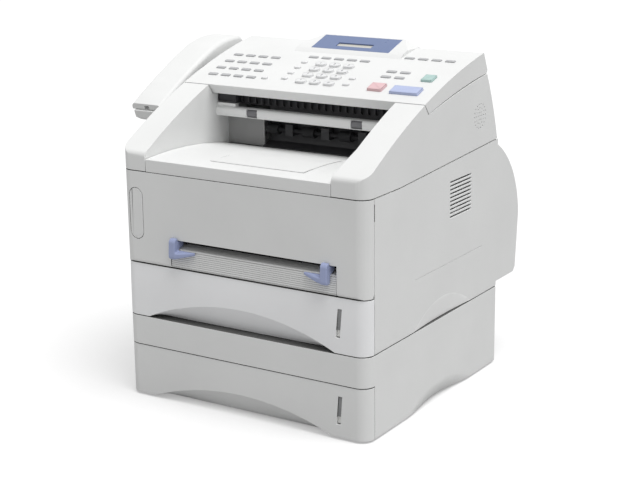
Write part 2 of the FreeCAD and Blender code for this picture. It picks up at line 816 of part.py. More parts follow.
def drum_unit():
    """Drum unit on the chassis deck: a low tray in front for the toner, the drum and its cover behind"""
    base = deck_top
    left = tray_left + wall
    right = tray_right - wall
    front = drum_rear - drum_length
    cover_front = drum_rear - drum_cover_depth
    profile = [(front, base), (drum_rear, base), (drum_rear, base + drum_height - 4 * wall),
               (drum_rear - 4 * wall, base + drum_height), (cover_front + 2 * wall, base + drum_height),
               (cover_front, base + drum_tray_height), (front, base + drum_tray_height)]
    case = prism_x(profile, left, right)
    drum_y = (cover_front + drum_rear) / 2
    drum_z = base + drum_radius + wall
    cradle = rod_x(left + wall, right - wall, drum_y, drum_z, drum_radius + 1)
    drum = rod_x(left, right, drum_y, drum_z, drum_radius)
    return joined(case.cut(cradle), drum)


def toner_cartridge():
    """Toner cartridge that lies in the drum unit's tray, with a grip at its front"""
    base = deck_top + drum_tray_height
    front = drum_rear - drum_length - toner_overhang
    rear = drum_rear - drum_cover_depth - wall
    step = 4 * wall
    profile = [(front + toner_overhang, base), (rear, base), (rear, base + step), (rear - step, base + toner_height),
               (front + step, base + toner_height), (front, base + toner_height - step), (front, base + step),
               (front + toner_overhang, base + step)]
    case = prism_x(profile, tray_left + step, tray_right - step)
    grip = box(paper_centre_x - toner_grip / 2, paper_centre_x + toner_grip / 2, front - 1, front + step,
               base + toner_height - 2 * step, base + toner_height - step - wall)
    return case.cut(grip)


def fuser_unit():
    """Fuser at the rear of the deck, with its heat roller behind a slit for the paper"""
    base = deck_top
    rear = frame_rear - 4 * wall
    front = rear - fuser_depth
    step = 4 * wall
    profile = [(front, base), (rear, base), (rear, base + fuser_height - step), (rear - step, base + fuser_height),
               (front + step, base + fuser_height), (front, base + fuser_height - step)]
    case = prism_x(profile, tray_left, tray_right)
    left = tray_left + step
    right = tray_right - step
    roller_z = base + fuser_height / 2
    nip = box(left, right, front - 1, front + step, roller_z - 2 * wall, roller_z + wall)
    roller = rod_x(left, right, front + step + 2 * wall, roller_z, fuser_roller_radius)
    return joined(case.cut(nip), roller)


def drive_motor():
    """Main motor on the right side plate"""
    x = frame_right
    can_z = motor_z + motor_radius
    bracket = box(x, x + 2, motor_y - motor_radius - wall, motor_y + motor_radius + wall, motor_z - wall,
                  can_z + motor_radius + wall)
    can = rod_x(x + 2, x + 2 + motor_depth, motor_y, can_z, motor_radius)
    pinion = rod_x(x + 2 + motor_depth, x + 4 + motor_depth, motor_y, can_z, wall)
    return joined(bracket, can, pinion)


def power_supply():
    """Supply board on the chassis, with its mains inlet in the left side cover"""
    x = frame_left - board_thickness
    reach = x - cover_depth - wall
    base = unit_base + 4 * wall
    front = inlet_y - 4 * inlet_width
    board = box(x, frame_left, front, frame_rear, base, frame_deck_z)
    transformer = box(x - reach, x, front + 4 * wall, front + 4 * wall + 1.2 * inlet_width, base + 4 * wall,
                      base + 4 * wall + 1.2 * inlet_width)
    sinks = []
    for step in (2, 2.4):
        y = front + step * inlet_width
        sinks.append(box(x - 0.8 * reach, x, y, y + wall, base + wall, frame_deck_z - wall))
    inlet = box(seam, x, inlet_y, inlet_y + inlet_width, inlet_z, inlet_z + inlet_height)
    socket = box(0, socket_depth, inlet_y + 2, inlet_y + inlet_width - 2, inlet_z + 2.5,
                 inlet_z + inlet_height - 2.5)
    body = joined(board, transformer, inlet, *sinks).cut(socket)
    blades = []
    middle_y = inlet_y + inlet_width / 2
    middle_z = inlet_z + inlet_height / 2
    for y, z in ((middle_y - 7, middle_z - 2), (middle_y + 7, middle_z - 2), (middle_y, middle_z + 2)):
        blades.append(box(4, socket_depth + 2, y - 2, y + 2, z - 1, z + 1))
    return joined(body, *blades)


def main_board():
    """Main board on the chassis, with the line, extension and handset jacks in the left side cover"""
    x = frame_left - board_thickness
    base = deck_top + 4 * wall
    top = frame_top - 3 * wall
    board = box(x, frame_left, board_front, frame_rear, base, top)
    chip = 10 * wall
    parts = [board]
    for index, height in enumerate((6.0, 3.0, 4.5)):
        y = board_front + chip + 2 * index * chip
        parts.append(box(x - height, x, y, y + chip, base + chip, base + 2 * chip))
    holes = []
    for index in range(jack_count):
        y = jack_first_y + index * jack_pitch
        parts.append(box(seam, x, y, y + jack_width, jack_z, jack_z + jack_height))
        holes.append(box(0, 14, y + 2, y + jack_width - 2, jack_z + 3, jack_z + 10))
        holes.append(box(0, 14, y + 5, y + jack_width - 5, jack_z + 9, jack_z + 12))
    return joined(*parts).cut(holes)


# The top housing and what lies between its arms

def circle_through(a, b, c):
    """Centre and radius of the circle through three points of a plane"""
    ax, ay = b[0] - a[0], b[1] - a[1]
    bx, by = c[0] - a[0], c[1] - a[1]
    double_area = 2 * (ax * by - ay * bx)
    u = (by * (ax * ax + ay * ay) - ay * (bx * bx + by * by)) / double_area
    v = (ax * (bx * bx + by * by) - bx * (ax * ax + ay * ay)) / double_area
    return a[0] + u, a[1] + v, math.hypot(u, v)


arc_y, arc_z, arc_radius = circle_through((0.0, nose_z), (panel_front_y, panel_front_z), (panel_rear_y, panel_rear_z))


def top_z(y, sink=0.0):
    """Height of the arc along the arms and the panel, or of an arc that much deeper"""
    return arc_z + math.sqrt((arc_radius - sink) ** 2 - (y - arc_y) ** 2)


nose_centre_z = arc_z + math.sqrt((arc_radius - nose_radius) ** 2 - (nose_radius - arc_y) ** 2)


def nose_arc(inset):
    """Rounded front end of an arm: its start, middle and end, in the side view"""
    away = Vector(0, nose_radius - arc_y, nose_centre_z - arc_z).normalize()
    halfway = (away + Vector(0, -1, 0)).normalize()
    radius = nose_radius - inset
    centre = Vector(0, nose_radius, nose_centre_z)
    middle = centre + halfway * radius
    end = centre + away * radius
    return (inset, nose_centre_z), (middle.y, middle.z, end.y, end.z)


def housing_profile(inset, low):
    """Top housing seen from the side: arms along the arc, a step for the panel and a sloping back"""
    nose_start, nose = nose_arc(inset)
    step_y = panel_front_y - seam
    front_middle = (nose[2] + step_y) / 2
    lip_y = panel_lip_y - seam + inset * 0.4
    lip_z = panel_lip_z - seam - inset * 1.1
    rear_top = (panel_base_rear_y - inset, panel_base_rear_z - seam - inset)
    rear_foot = (rear_slope_foot_y - inset, side_seam_rear_z)
    points = [
        (inset, low), nose_start, nose,
        (front_middle, top_z(front_middle, inset), step_y, top_z(step_y, inset)),
        (lip_y, lip_z), (panel_base_middle_y, panel_base_middle_z - seam - inset) + rear_top,
        bowed(rear_top, rear_foot, rear_slope_bow) + rear_foot,
    ]
    if inset > 0:
        return points + [(rear_slope_foot_y - inset, low)]
    return points + [(side_seam_bend_y, low)]


def housing_room(x0, x1):
    """Hollow of the top housing between two walls, open at its foot"""
    room = prism_x(housing_profile(wall, side_seam_z - 10), x0, x1)
    return room.common(prism_z(front_plan(wall, body_depth), 0, panel_rear_z))


def speaker_holes():
    holes = []
    for ring in range(speaker_rings + 1):
        count = max(1, 6 * ring)
        for index in range(count):
            angle = 2 * math.pi * index / count
            y = speaker_y + ring * speaker_hole_pitch * math.cos(angle)
            z = speaker_z + ring * speaker_hole_pitch * math.sin(angle)
            holes.append(rod_x(body_width - wall - 1, body_width + 1, y, z, speaker_hole_radius))
    return holes


def panel_ear(x):
    """Hinge ear that stands on the housing and holds a pin of the control panel"""
    round_end = rod_x(x, x + panel_ear_width, panel_hinge_y, panel_hinge_z, panel_hinge_radius - play)
    foot = box(x, x + panel_ear_width, panel_hinge_y - 3.5, panel_hinge_y + 2.2, panel_base_rear_z - 6,
               panel_hinge_z)
    hole = rod_x(x - 1, x + panel_ear_width + 1, panel_hinge_y, panel_hinge_z, hinge_pin_radius + bearing_play)
    return round_end.fuse(foot).cut(hole)


def top_housing():
    outer = prism_x(housing_profile(0, side_seam_z + seam), 0, body_width)
    outer = outer.common(prism_z(front_plan(0, body_depth), 0, panel_rear_z))
    cavity = box(arm_left, arm_right, -1, cavity_depth, 0, panel_rear_z)
    flare = prism_z([(arm_right - arm_flare, 0), (arm_right + 1, 0), (arm_right + 1, arm_flare_run)], side_seam_z,
                    panel_rear_z)
    shell = outer.cut(cavity.cut(flare))
    left_room = housing_room(wall, arm_left - wall)
    right_room = housing_room(arm_right + wall, body_width - wall)
    middle_room = housing_room(arm_left, arm_right)
    inner_wall = box(arm_left, cavity_wall_right, cavity_depth, cavity_depth + wall, 0, bar_base_z)
    middle_room = middle_room.common(box(arm_left, arm_right, cavity_depth - 1, body_depth, 0, panel_rear_z))
    shell = shell.cut([left_room, right_room, middle_room.cut(inner_wall)] + speaker_holes())
    shell = shell.cut([rod_x(wall + 1, body_width - wall - 1, panel_hinge_y, panel_hinge_z, panel_hinge_radius + play)])
    hatch = box(arm_left + hatch_margin, arm_right - hatch_margin, cavity_depth - 1, scanner_rear_y - hatch_margin,
                scanner_base_z, panel_rear_z)
    shell = shell.cut(hatch)
    ears = [panel_ear(panel_ear_x), panel_ear(body_width - panel_ear_x - panel_ear_width)]
    ribs = []
    for x in (frame_left, frame_right - frame_sheet):
        rib = box(x, x + frame_sheet, rib_front, frame_rear, side_seam_z, panel_rear_z).common(outer)
        ribs += [rib, box(x, x + frame_sheet, rib_front, frame_rear, frame_top, side_seam_rear_z)]
    arm_rib = box(arm_right, body_width - 1, arm_rib_y, arm_rib_y + wall, side_seam_z, panel_rear_z).common(outer)
    post = box(frame_right - frame_sheet, frame_right, arm_rib_y, arm_rib_y + wall, frame_top, tray_front_z)
    return joined(shell, arm_rib, post, *ears, *ribs)


tray_arc_y, tray_arc_z, tray_arc_radius = circle_through(
    (0.0, tray_front_z), (tray_crown_y, tray_crown_z), (tray_rear_y, tray_rear_z))


def tray_z(y, sink=0.0):
    return tray_arc_z + math.sqrt((tray_arc_radius - sink) ** 2 - (y - tray_arc_y) ** 2)


flap_pin_y = flap_front + flap_thickness / 2 + flap_gap
flap_pin_z = tray_z(flap_pin_y, flap_thickness / 2)


def tray_band(y0, y1, top_sink, base_sink):
    """Slice of the tray's curved plate, between two depths below its surface"""
    middle = (y0 + y1) / 2
    return [(middle, tray_z(middle, base_sink), y0, tray_z(y0, base_sink)), (y0, tray_z(y0, top_sink)),
            (middle, tray_z(middle, top_sink), y1, tray_z(y1, top_sink)), (y1, tray_z(y1, base_sink))]


def output_tray():
    """Curved paper tray between the arms, on a rib that stands on the chassis"""
    left = arm_left + line_gap
    right = arm_right - line_gap
    surface = prism_x(tray_band(0, tray_rear_y, 0, tray_plate), left, right)
    base = prism_x(tray_band(wall, tray_rear_y, tray_plate / 2, tray_plate), arm_left, arm_right)
    apron = box(left, right, 0, wall, front_cover_top + 2 * play, tray_front_z - 2)
    rib = box(frame_left, frame_left + frame_sheet, arm_rib_y, tray_rear_y - 20, frame_top, tray_z(tray_rear_y))
    recess = prism_x(tray_band(flap_front, flap_rear, -3, flap_thickness + play), flap_left, flap_right)
    pins = rod_x(flap_left - 3, flap_right + 3, flap_pin_y, flap_pin_z, flap_pin_radius + bearing_play)
    finger = Part.makeSphere(9, Vector((flap_left + flap_right) / 2, flap_rear + 2, tray_z(flap_rear) + 6))
    flare_end = arm_flare_run * (1 + line_gap / arm_flare)
    flare_side = arm_right - arm_flare - line_gap
    flare_room = prism_z([(flare_side, -1), (arm_right + 1, -1), (arm_right + 1, flare_end), (arm_right, flare_end),
                          (flare_side, 0)], 0, panel_rear_z)
    tray = joined(surface, base, apron, rib)
    for tool in (recess, pins, finger, flare_room):
        tray = tray.cut(tool)
    return tray


def output_tray_flap():
    gap = flap_gap
    plate = prism_x(tray_band(flap_pin_y, flap_rear - gap, 0, flap_thickness), flap_left + gap, flap_right - gap)
    roll = rod_x(flap_left + gap, flap_right - gap, flap_pin_y, flap_pin_z, flap_thickness / 2)
    pins = rod_x(flap_left - 2.5, flap_right + 2.5, flap_pin_y, flap_pin_z, flap_pin_radius)
    return joined(plate, roll, pins)


document_roller_y = bar_front_y + exit_roller_radius + play
document_roller_z = bar_base_z + bar_height / 2
document_centre_x = arm_left + exit_roller_centre
document_roller_shaft = 1.5


def document_roller_left(side):
    return document_centre_x + side * exit_roller_spread - exit_roller_length / 2


def document_exit_bar():
    """White guide bar across the document exit, notched for two small rollers"""
    rear = bar_front_y + bar_depth
    points = [(bar_front_y + 1.5, bar_base_z), (bar_front_y, bar_base_z + 3), (bar_front_y, bar_base_z + bar_height - 4),
              (bar_front_y + 1.2, bar_base_z + bar_height - 1.2, bar_front_y + 4, bar_base_z + bar_height),
              (rear, bar_base_z + bar_height), (rear, bar_base_z)]
    bar_top = bar_base_z + bar_height
    end_block = box(arm_left, arm_left + exit_block_width, bar_front_y + 4, rear, bar_top - 1, bar_top + exit_block_rise)
    bar = prism_x(points, arm_left, arm_right).fuse(end_block)
    cuts = [rod_x(document_roller_left(-1) - 6, document_roller_left(1) + exit_roller_length + 6, document_roller_y,
                  document_roller_z, document_roller_shaft + bearing_play)]
    for side in (-1, 1):
        left = document_roller_left(side)
        cuts.append(box(left - 0.5, left + exit_roller_length + 0.5, bar_front_y - 1, rear - 1,
                        document_roller_z - exit_roller_radius - 0.5, document_roller_z + exit_roller_radius + 0.5))
    return cut_all(bar, cuts)


def document_exit_rollers():
    shaft = rod_x(document_roller_left(-1) - 5, document_roller_left(1) + exit_roller_length + 5, document_roller_y,
                  document_roller_z, document_roller_shaft)
    rollers = []
    for side in (-1, 1):
        left = document_roller_left(side)
        rollers.append(rod_x(left, left + exit_roller_length, document_roller_y, document_roller_z,
                             exit_roller_radius))
    return joined(shaft, *rollers)


base_arc_y, base_arc_z, base_arc_radius = circle_through(
    (panel_lip_y, panel_lip_z), (panel_base_middle_y, panel_base_middle_z), (panel_base_rear_y, panel_base_rear_z))


def panel_base_z(y, sink=0.0):
    """Height of the curved seam under the control panel, or of an arc that much deeper"""
    return base_arc_z + math.sqrt((base_arc_radius - sink) ** 2 - (y - base_arc_y) ** 2)


def document_scanner():
    """Dark scanning unit under the panel, with a comb of guide ribs over the document exit"""
    front = scanner_front_y
    rear = scanner_rear_y - 2 * hatch_margin
    middle = (front + rear) / 2
    left = arm_left + hatch_margin + line_gap
    right = arm_right - hatch_margin - line_gap
    upper = prism_x([(front, scanner_base_z), (front, panel_base_z(front, scanner_sink)),
                     (middle, panel_base_z(middle, scanner_sink), rear, panel_base_z(rear, scanner_sink)),
                     (rear, scanner_base_z)], left, right)
    base = box(arm_left, arm_right, front, scanner_rear_y, scanner_base_z, scanner_top_z)
    slit_y = 232.0
    slit = box(left + 20, right - 20, slit_y - 6, slit_y + 6, panel_base_z(slit_y) - 6, panel_base_z(slit_y) + 1)
    ribs = []
    first = arm_left + comb_pitch
    count = int((arm_right - first) / comb_pitch)
    for index in range(count):
        x = first + index * comb_pitch
        if x < arm_left + exit_block_width:
            continue
        ribs.append(prism_x([(front, scanner_base_z), (front - comb_depth, scanner_base_z + 4),
                             (front - comb_depth, scanner_top_z - 6), (front, scanner_top_z)], x, x + 1.6))
    return joined(base, upper.cut(slit), *ribs)


def paper_exit_guide():
    """Dark wall of the paper exit, with ears that carry the exit rollers"""
    left = cavity_wall_right + play
    back = paper_roller_y + paper_roller_radius + 2
    points = [(tray_rear_y + 4, tray_rear_z + 0.5), (back - 2, tray_rear_z + 6), (back, tray_rear_z + 10),
              (back, scanner_base_z), (back + wall, scanner_base_z), (back + wall, tray_rear_z - 2),
              (tray_rear_y + 4, tray_rear_z - 2)]
    guide = prism_x(points, left, arm_right)
    ears = []
    for index in range(paper_roller_count - 1):
        x = paper_roller_first_x + paper_roller_length + 12 + index * paper_roller_pitch
        ear = box(x, x + 12, paper_roller_y - 5, back, paper_roller_z - 7, paper_roller_z + 9)
        ears.append(ear)
    hole = rod_x(left, arm_right, paper_roller_y, paper_roller_z, 3.0 + bearing_play)
    return joined(guide, *[ear.cut(hole) for ear in ears])


def paper_exit_roller():
    last = paper_roller_first_x + (paper_roller_count - 1) * paper_roller_pitch + paper_roller_length
    shaft = rod_x(paper_roller_first_x, last, paper_roller_y, paper_roller_z, 3.0)
    rollers = []
    for index in range(paper_roller_count):
        x = paper_roller_first_x + index * paper_roller_pitch
        rollers.append(rod_x(x, x + paper_roller_length, paper_roller_y, paper_roller_z, paper_roller_radius))
    return joined(shaft, *rollers)


def speaker():
    x = body_width - wall
    rim = rod_x(x - wall, x, speaker_y, speaker_z, speaker_rim_radius)
    cone = Part.makeCone(speaker_rim_radius - 4, speaker_rim_radius / 2, 9, Vector(x - wall, speaker_y, speaker_z), Vector(-1, 0, 0))
    magnet = rod_x(x - wall - 17, x - wall - 8, speaker_y, speaker_z, speaker_rim_radius / 2)
    return joined(rim, cone, magnet)


# The control panel

pod_rise = math.radians(pod_angle)
pod_front_z = top_z(pod_front_y) + pod_lip


def pod_point(along, up):
    """Point of the display pod's sloping top, from its front edge"""
    y = pod_front_y + along * math.cos(pod_rise) - up * math.sin(pod_rise)
    z = pod_front_z + along * math.sin(pod_rise) + up * math.cos(pod_rise)
    return y, z


def on_panel(shape, x, y):
    """Moves a key made at the origin onto the panel's curved surface"""
    lean = math.degrees(math.asin((arc_y - y) / arc_radius))
    shape.rotate(Vector(0, 0, 0), Vector(1, 0, 0), lean)
    shape.translate(Vector(x, y, top_z(y)))
    return shape


def key_press(y):
    """Direction in which a key at this place goes down"""
    return Vector(0, (arc_y - y) / arc_radius, -(top_z(y) - arc_z) / arc_radius)


dial_key = (15.0, 9.5, 3.0, 3.5)
one_touch_key = (14.0, 5.5, 1.6, 1.2)
small_key = (9.0, 5.5, 2.4, 2.2)
stop_key_size = (21.0, 18.0, 3.4, 1.2)
start_key_size = (41.0, 18.0, 3.4, 1.2)
copy_key_size = (16.0, 17.0, 3.0, 1.2)
stop_key_place = (body_width - 85.4, 172.0)
start_key_place = (body_width - 41.5, 169.8)
copy_key_place = (body_width - 28.4, 206.0)
dial_pitch = 21.8
dial_centre_x = middle_width + 7.5
dial_columns = [dial_centre_x + dial_pitch * column for column in (-1, 0, 1)]
dial_rows = [220.6, 204.0, 187.4, 170.0]
dial_names = ["1", "2", "3", "4", "5", "6", "7", "8", "9", "star", "0", "hash"]
dial_places = [(x, y) for y in dial_rows for x in dial_columns]
one_touch_pitch = 20.8
one_touch_rows = [230.7, 209.2, 188.8, 169.8]
one_touch_places = [(29.5 + one_touch_pitch * column, y) for y in one_touch_rows for column in range(4)]
shift_key_place = (113.3, 171.0)
function_pitch = 20.2
display_key_places = [(middle_width - 39.7 + function_pitch * column, 242.4) for column in range(5)]
left_key_places = [(middle_width - 42.8, y) for y in (223.5, 206.7, 190.2, 174.2)]
right_key_places = [(middle_width + 53.6, y) for y in (188.8, 172.4)]
mode_key_places = [(body_width - 88.5 + function_pitch * column, 263.9) for column in range(4)]
print_key_places = [(body_width - 89.6 + function_pitch * column, y) for y in (217.5, 201.9) for column in (0, 1)]
key_sink = wall + play + key_skirt


def key(size, place):
    """Key cap with a retaining flange under the panel"""
    width, length, height, radius = size
    cap = prism_z(rounded_rectangle(width, length, radius), -key_sink, height)
    rim = [edge for edge in cap.Edges if edge.BoundBox.ZMin > height - 1e-6]
    cap = cap.makeChamfer(0.7, rim)
    skirt = prism_z(rounded_rectangle(width + 2 * key_flange, length + 2 * key_flange, radius), -key_sink,
                    -key_sink + key_skirt)
    return on_panel(joined(cap, skirt), *place)


def key_hole(size, place):
    width, length, height, radius = size
    hole = prism_z(rounded_rectangle(width + 2 * key_gap, length + 2 * key_gap, radius + key_gap), -key_sink, 8.0)
    return on_panel(hole, *place)


function_keys_list = [(small_key, place) for place in left_key_places + right_key_places]
function_keys_list += [(one_touch_key, place) for place in display_key_places + mode_key_places + print_key_places]
one_touch_list = [(one_touch_key, place) for place in one_touch_places]
one_touch_list.append((small_key, shift_key_place))
dial_list = [(dial_key, place) for place in dial_places]
main_keys_list = [(stop_key_size, stop_key_place), (start_key_size, start_key_place), (copy_key_size, copy_key_place)]


def panel_outline():
    """Panel seen from the side: curved top, undercut front, and a round heel about its hinge line"""
    heel = panel_hinge_radius * math.sqrt(0.5)
    middle = (panel_front_y + panel_rear_y) / 2
    return [
        (panel_lip_y, panel_lip_z), (panel_front_y, panel_front_z),
        (middle, top_z(middle), panel_rear_y, panel_rear_z),
        (panel_hinge_y + panel_hinge_radius, panel_hinge_z),
        (panel_hinge_y + heel, panel_hinge_z - heel, panel_hinge_y, panel_hinge_z - panel_hinge_radius),
        (panel_base_middle_y + 40, panel_base_middle_z + 8.0, panel_lip_y, panel_lip_z),
    ]


def panel_room():
    front_y = panel_front_y + wall * 1.6
    rear_y = panel_rear_y - wall
    middle = (front_y + rear_y) / 2
    return prism_x([(panel_lip_y + 8, panel_lip_z - 8), (front_y, top_z(front_y, wall)),
                    (middle, top_z(middle, wall), rear_y, top_z(rear_y, wall)), (panel_hinge_y - 4, panel_hinge_z),
                    (panel_hinge_y - 4, panel_lip_z - 8)], wall, body_width - wall)


def display_pod():
    """Raised wedge that tilts the display towards the user, with flanks that slope out to the row of keys"""
    left = bezel_left - pod_margin
    right = bezel_left + bezel_width + pod_margin
    pod_flank = mode_key_places[0][0] - one_touch_key[0] / 2 - key_flange - pod_key_gap - right
    top_length = bezel_length + pod_margin
    crest = pod_point(top_length, 0)
    foot_y = pod_front_y - 8
    wedge = prism_x([(foot_y, top_z(foot_y)), pod_point(-1.5, 0), crest, (panel_hinge_y - 1, crest[1] - 6),
                     (panel_hinge_y + 1, panel_hinge_z + 8), (foot_y, top_z(foot_y) - wall)], left - pod_flank,
                    right + pod_flank)
    height = crest[1] - panel_rear_z + 6
    flanks = []
    for x, way in ((left, -1), (right, 1)):
        edge = x + way * pod_flank * height / (height - 6)
        flanks.append(prism_y([(x, crest[1]), (edge, crest[1] - height), (edge, crest[1] + 5), (x, crest[1] + 5)],
                              foot_y - 1, panel_base_rear_y + 5))
    return wedge.cut(flanks)


def bezel_recess(depth, margin):
    corners = [pod_point(-margin, 5), pod_point(bezel_length + margin, 5), pod_point(bezel_length + margin, -depth),
               pod_point(-margin, -depth)]
    return prism_x(corners, bezel_left - margin, bezel_left + bezel_width + margin)


lcd_left = bezel_left + (bezel_width - lcd_width) / 2


def control_panel():
    body = prism_x(panel_outline(), 0, body_width)
    shell = body.cut(panel_room())
    pod_room = prism_x([pod_point(4, -bezel_thickness - 3), pod_point(bezel_length - 4, -bezel_thickness - 3),
                        pod_point(bezel_length - 4, -16), pod_point(4, -8)], bezel_left + 6,
                       bezel_left + bezel_width - 6)
    window = prism_x([pod_point(lcd_front, 2), pod_point(lcd_front + lcd_length, 2),
                      pod_point(lcd_front + lcd_length, -9), pod_point(lcd_front, -9)], lcd_left, lcd_left + lcd_width)
    shell = joined(shell, display_pod()).cut([bezel_recess(bezel_thickness, play), pod_room, window])
    entry = box(entry_left, entry_right, panel_hinge_y - 12, panel_base_rear_y + 5, entry_base_z,
                entry_base_z + entry_height)
    holes = [key_hole(*item) for item in function_keys_list + one_touch_list + dial_list + main_keys_list]
    notches = []
    pins = []
    for x in (panel_ear_x, body_width - panel_ear_x - panel_ear_width):
        notches.append(box(x - seam, x + panel_ear_width + seam, panel_hinge_y - 6, panel_hinge_y + 8,
                           panel_hinge_z - 8, panel_hinge_z + 6))
        pins.append(rod_x(x - seam - 3, x + panel_ear_width + seam + 3, panel_hinge_y, panel_hinge_z,
                          hinge_pin_radius))
    shell = shell.cut([entry] + holes + notches)
    return joined(shell, *pins)


def lcd_bezel():
    """Thin lens plate over the display, with an opening in front of the LCD"""
    corners = [pod_point(0, 0.3), pod_point(bezel_length, 0.3), pod_point(bezel_length, -bezel_thickness),
               pod_point(0, -bezel_thickness)]
    plate = prism_x(corners, bezel_left, bezel_left + bezel_width)
    window = prism_x([pod_point(lcd_front + 1, 2), pod_point(lcd_front + lcd_length - 1, 2),
                      pod_point(lcd_front + lcd_length - 1, -9), pod_point(lcd_front + 1, -9)], lcd_left + 1,
                     lcd_left + lcd_width - 1)
    return plate.cut(window)


def lcd_module():
    """Display glass under the bezel, set in the panel's opening"""
    corners = [pod_point(lcd_front + play, -bezel_thickness), pod_point(lcd_front + lcd_length - play, -bezel_thickness),
               pod_point(lcd_front + lcd_length - play, -bezel_thickness - 2.5),
               pod_point(lcd_front + play, -bezel_thickness - 2.5)]
    return prism_x(corners, lcd_left + play, lcd_left + lcd_width - play)


# The handset and its cradle, made level and then tilted along the slope of the body

def tilted(shape):
    shape.rotate(Vector(0, 0, 0), Vector(1, 0, 0), handset_tilt)
    shape.translate(Vector(0, handset_front_y, handset_front_z))
    return shape


handset_right = handset_left + handset_width
cup_floor = -handset_cup_depth


def handset():
    """Curved handset with a thicker ear and mouth end, and a cord jack in its lower end"""
    far = handset_length
    cup = handset_cup_length
    half = far / 2
    low_end = (0.0, handset_end_height)
    crown = (handset_crown_along, handset_crown)
    high_end = (far, handset_end_height)
    front_way = math.atan2(crown[1] - low_end[1], crown[0] - low_end[0])
    rear_way = math.atan2(high_end[1] - crown[1], high_end[0] - crown[0])
    front_run = math.dist(low_end, crown)
    at_crown = front_way - 2 * math.atan(2 * handset_front_bow / front_run)
    rear_bow = math.dist(crown, high_end) / 2 * math.tan((at_crown - rear_way) / 2)
    points = [(0, cup_floor), low_end, bowed(low_end, crown, handset_front_bow) + crown,
              bowed(crown, high_end, rear_bow) + high_end, (far, cup_floor), (far - cup, cup_floor),
              (far - cup - 10, 0), (half, 6, cup + 10, 0), (cup, cup_floor)]
    body = prism_x(points, handset_left, handset_right)
    top_edges = [edge for edge in body.Edges if edge.BoundBox.ZMax > handset_crown - 0.5]
    long_edges = [edge for edge in top_edges if edge.BoundBox.YLength > cup]
    body = body.makeFillet(handset_edge, long_edges)
    middle = (handset_left + handset_right) / 2
    jack = box(middle - 3.9, middle + 3.9, -1, 9, cup_floor + 0.8, cup_floor + 6.0)
    return tilted(body.cut(jack))


hook_along = handset_length - 30
hook_width = 10.0


def handset_cradle():
    """Shallow tray on the left side of the body, with a seat for each end of the handset"""
    seat = cup_floor - play
    far = handset_length + cradle_rim + seam
    near = -cradle_rim - seam
    points = [(near, seat - cradle_thickness + cradle_chamfer), (near, seat + 0.5), (far, seat + 0.5),
              (far, seat - cradle_thickness + cradle_chamfer), (far - cradle_chamfer, seat - cradle_thickness),
              (near + cradle_chamfer, seat - cradle_thickness)]
    body = prism_x(points, cradle_left, -seam)
    bracket = box(-seam - 1, 0, 20, handset_length - 50, seat - cradle_thickness, seat - 4)
    bed = box(handset_left - 1, handset_right + 1, -1, handset_length + 1, seat, seat + 8)
    trough = box(handset_left + 6, handset_right - 6, handset_cup_length + 4, handset_length - handset_cup_length - 4,
                 seat - 5, seat + 1)
    middle = (handset_left + handset_right) / 2
    hook_slot = box(middle - hook_width / 2 - play, middle + hook_width / 2 + play, hook_along - 4 - play,
                    hook_along + 4 + play, seat - 10, seat + 1)
    return tilted(joined(cut_all(body, [bed, trough, hook_slot]), bracket))


def hook_switch():
    """Plunger under the ear end that the handset's weight holds down"""
    seat = cup_floor - play
    middle = (handset_left + handset_right) / 2
    points = [(hook_along - 4, seat - 10 + play), (hook_along - 4, seat - 1), (hook_along, seat, hook_along + 4, seat - 1),
              (hook_along + 4, seat - 10 + play)]
    return tilted(prism_x(points, middle - hook_width / 2, middle + hook_width / 2))


# Every node of the finished machine

lower_floor_z = pan_top + play
upper_floor_z = unit_base + frame_sheet + play
lower_front_base = foot_height + 0.5

shapes["lower_housing"] = lower_housing()
shapes["rubber_feet"] = rubber_feet()
shapes["lower_cassette_front"] = cassette_front(lower_front_base, lower_cassette_top, lower_grip_half_span,
                                                lower_grip_rise)
shapes["lower_cassette_tray"] = cassette_tray(lower_floor_z)
shapes["lower_lift_plate"] = lift_plate(lower_floor_z)
shapes["lower_level_flag"] = level_flag(lower_cassette_top)
shapes["lower_pickup_roller"] = pickup_roller(lower_pickup_z)
shapes["main_frame"] = main_frame()
shapes["left_side_cover"] = left_side_cover()
shapes["right_side_cover"] = right_side_cover()
shapes["rear_cover"] = rear_cover()
shapes["front_cover"] = front_cover()
shapes["blanking_plate"] = blanking_plate()
shapes["manual_feed_tray"] = manual_feed_tray()
shapes["manual_guide_left"] = manual_guide()
shapes["manual_guide_right"] = mirrored(manual_guide(), paper_centre_x)
shapes["upper_cassette_front"] = cassette_front(unit_base, upper_cassette_top, upper_grip_half_span,
                                                upper_grip_rise)
shapes["upper_cassette_tray"] = cassette_tray(upper_floor_z)
shapes["upper_lift_plate"] = lift_plate(upper_floor_z)
shapes["upper_level_flag"] = level_flag(upper_cassette_top)
shapes["upper_pickup_roller"] = pickup_roller(upper_pickup_z)
shapes["laser_scanner"] = laser_scanner()
shapes["drum_unit"] = drum_unit()
shapes["toner_cartridge"] = toner_cartridge()
shapes["fuser_unit"] = fuser_unit()
shapes["drive_motor"] = drive_motor()
shapes["power_supply"] = power_supply()
shapes["main_board"] = main_board()
shapes["top_housing"] = top_housing()
shapes["output_tray"] = output_tray()
shapes["output_tray_flap"] = output_tray_flap()
shapes["paper_exit_guide"] = paper_exit_guide()
shapes["paper_exit_roller"] = paper_exit_roller()
shapes["document_exit_bar"] = document_exit_bar()
shapes["document_exit_rollers"] = document_exit_rollers()
shapes["document_scanner"] = document_scanner()
shapes["speaker"] = speaker()
shapes["control_panel"] = control_panel()
shapes["lcd_bezel"] = lcd_bezel()
shapes["lcd_module"] = lcd_module()
shapes["handset"] = handset()
shapes["handset_cradle"] = handset_cradle()
shapes["hook_switch"] = hook_switch()
shapes["one_touch_keys"] = Part.makeCompound([key(*item) for item in one_touch_list])
shapes["function_keys"] = Part.makeCompound([key(*item) for item in function_keys_list])
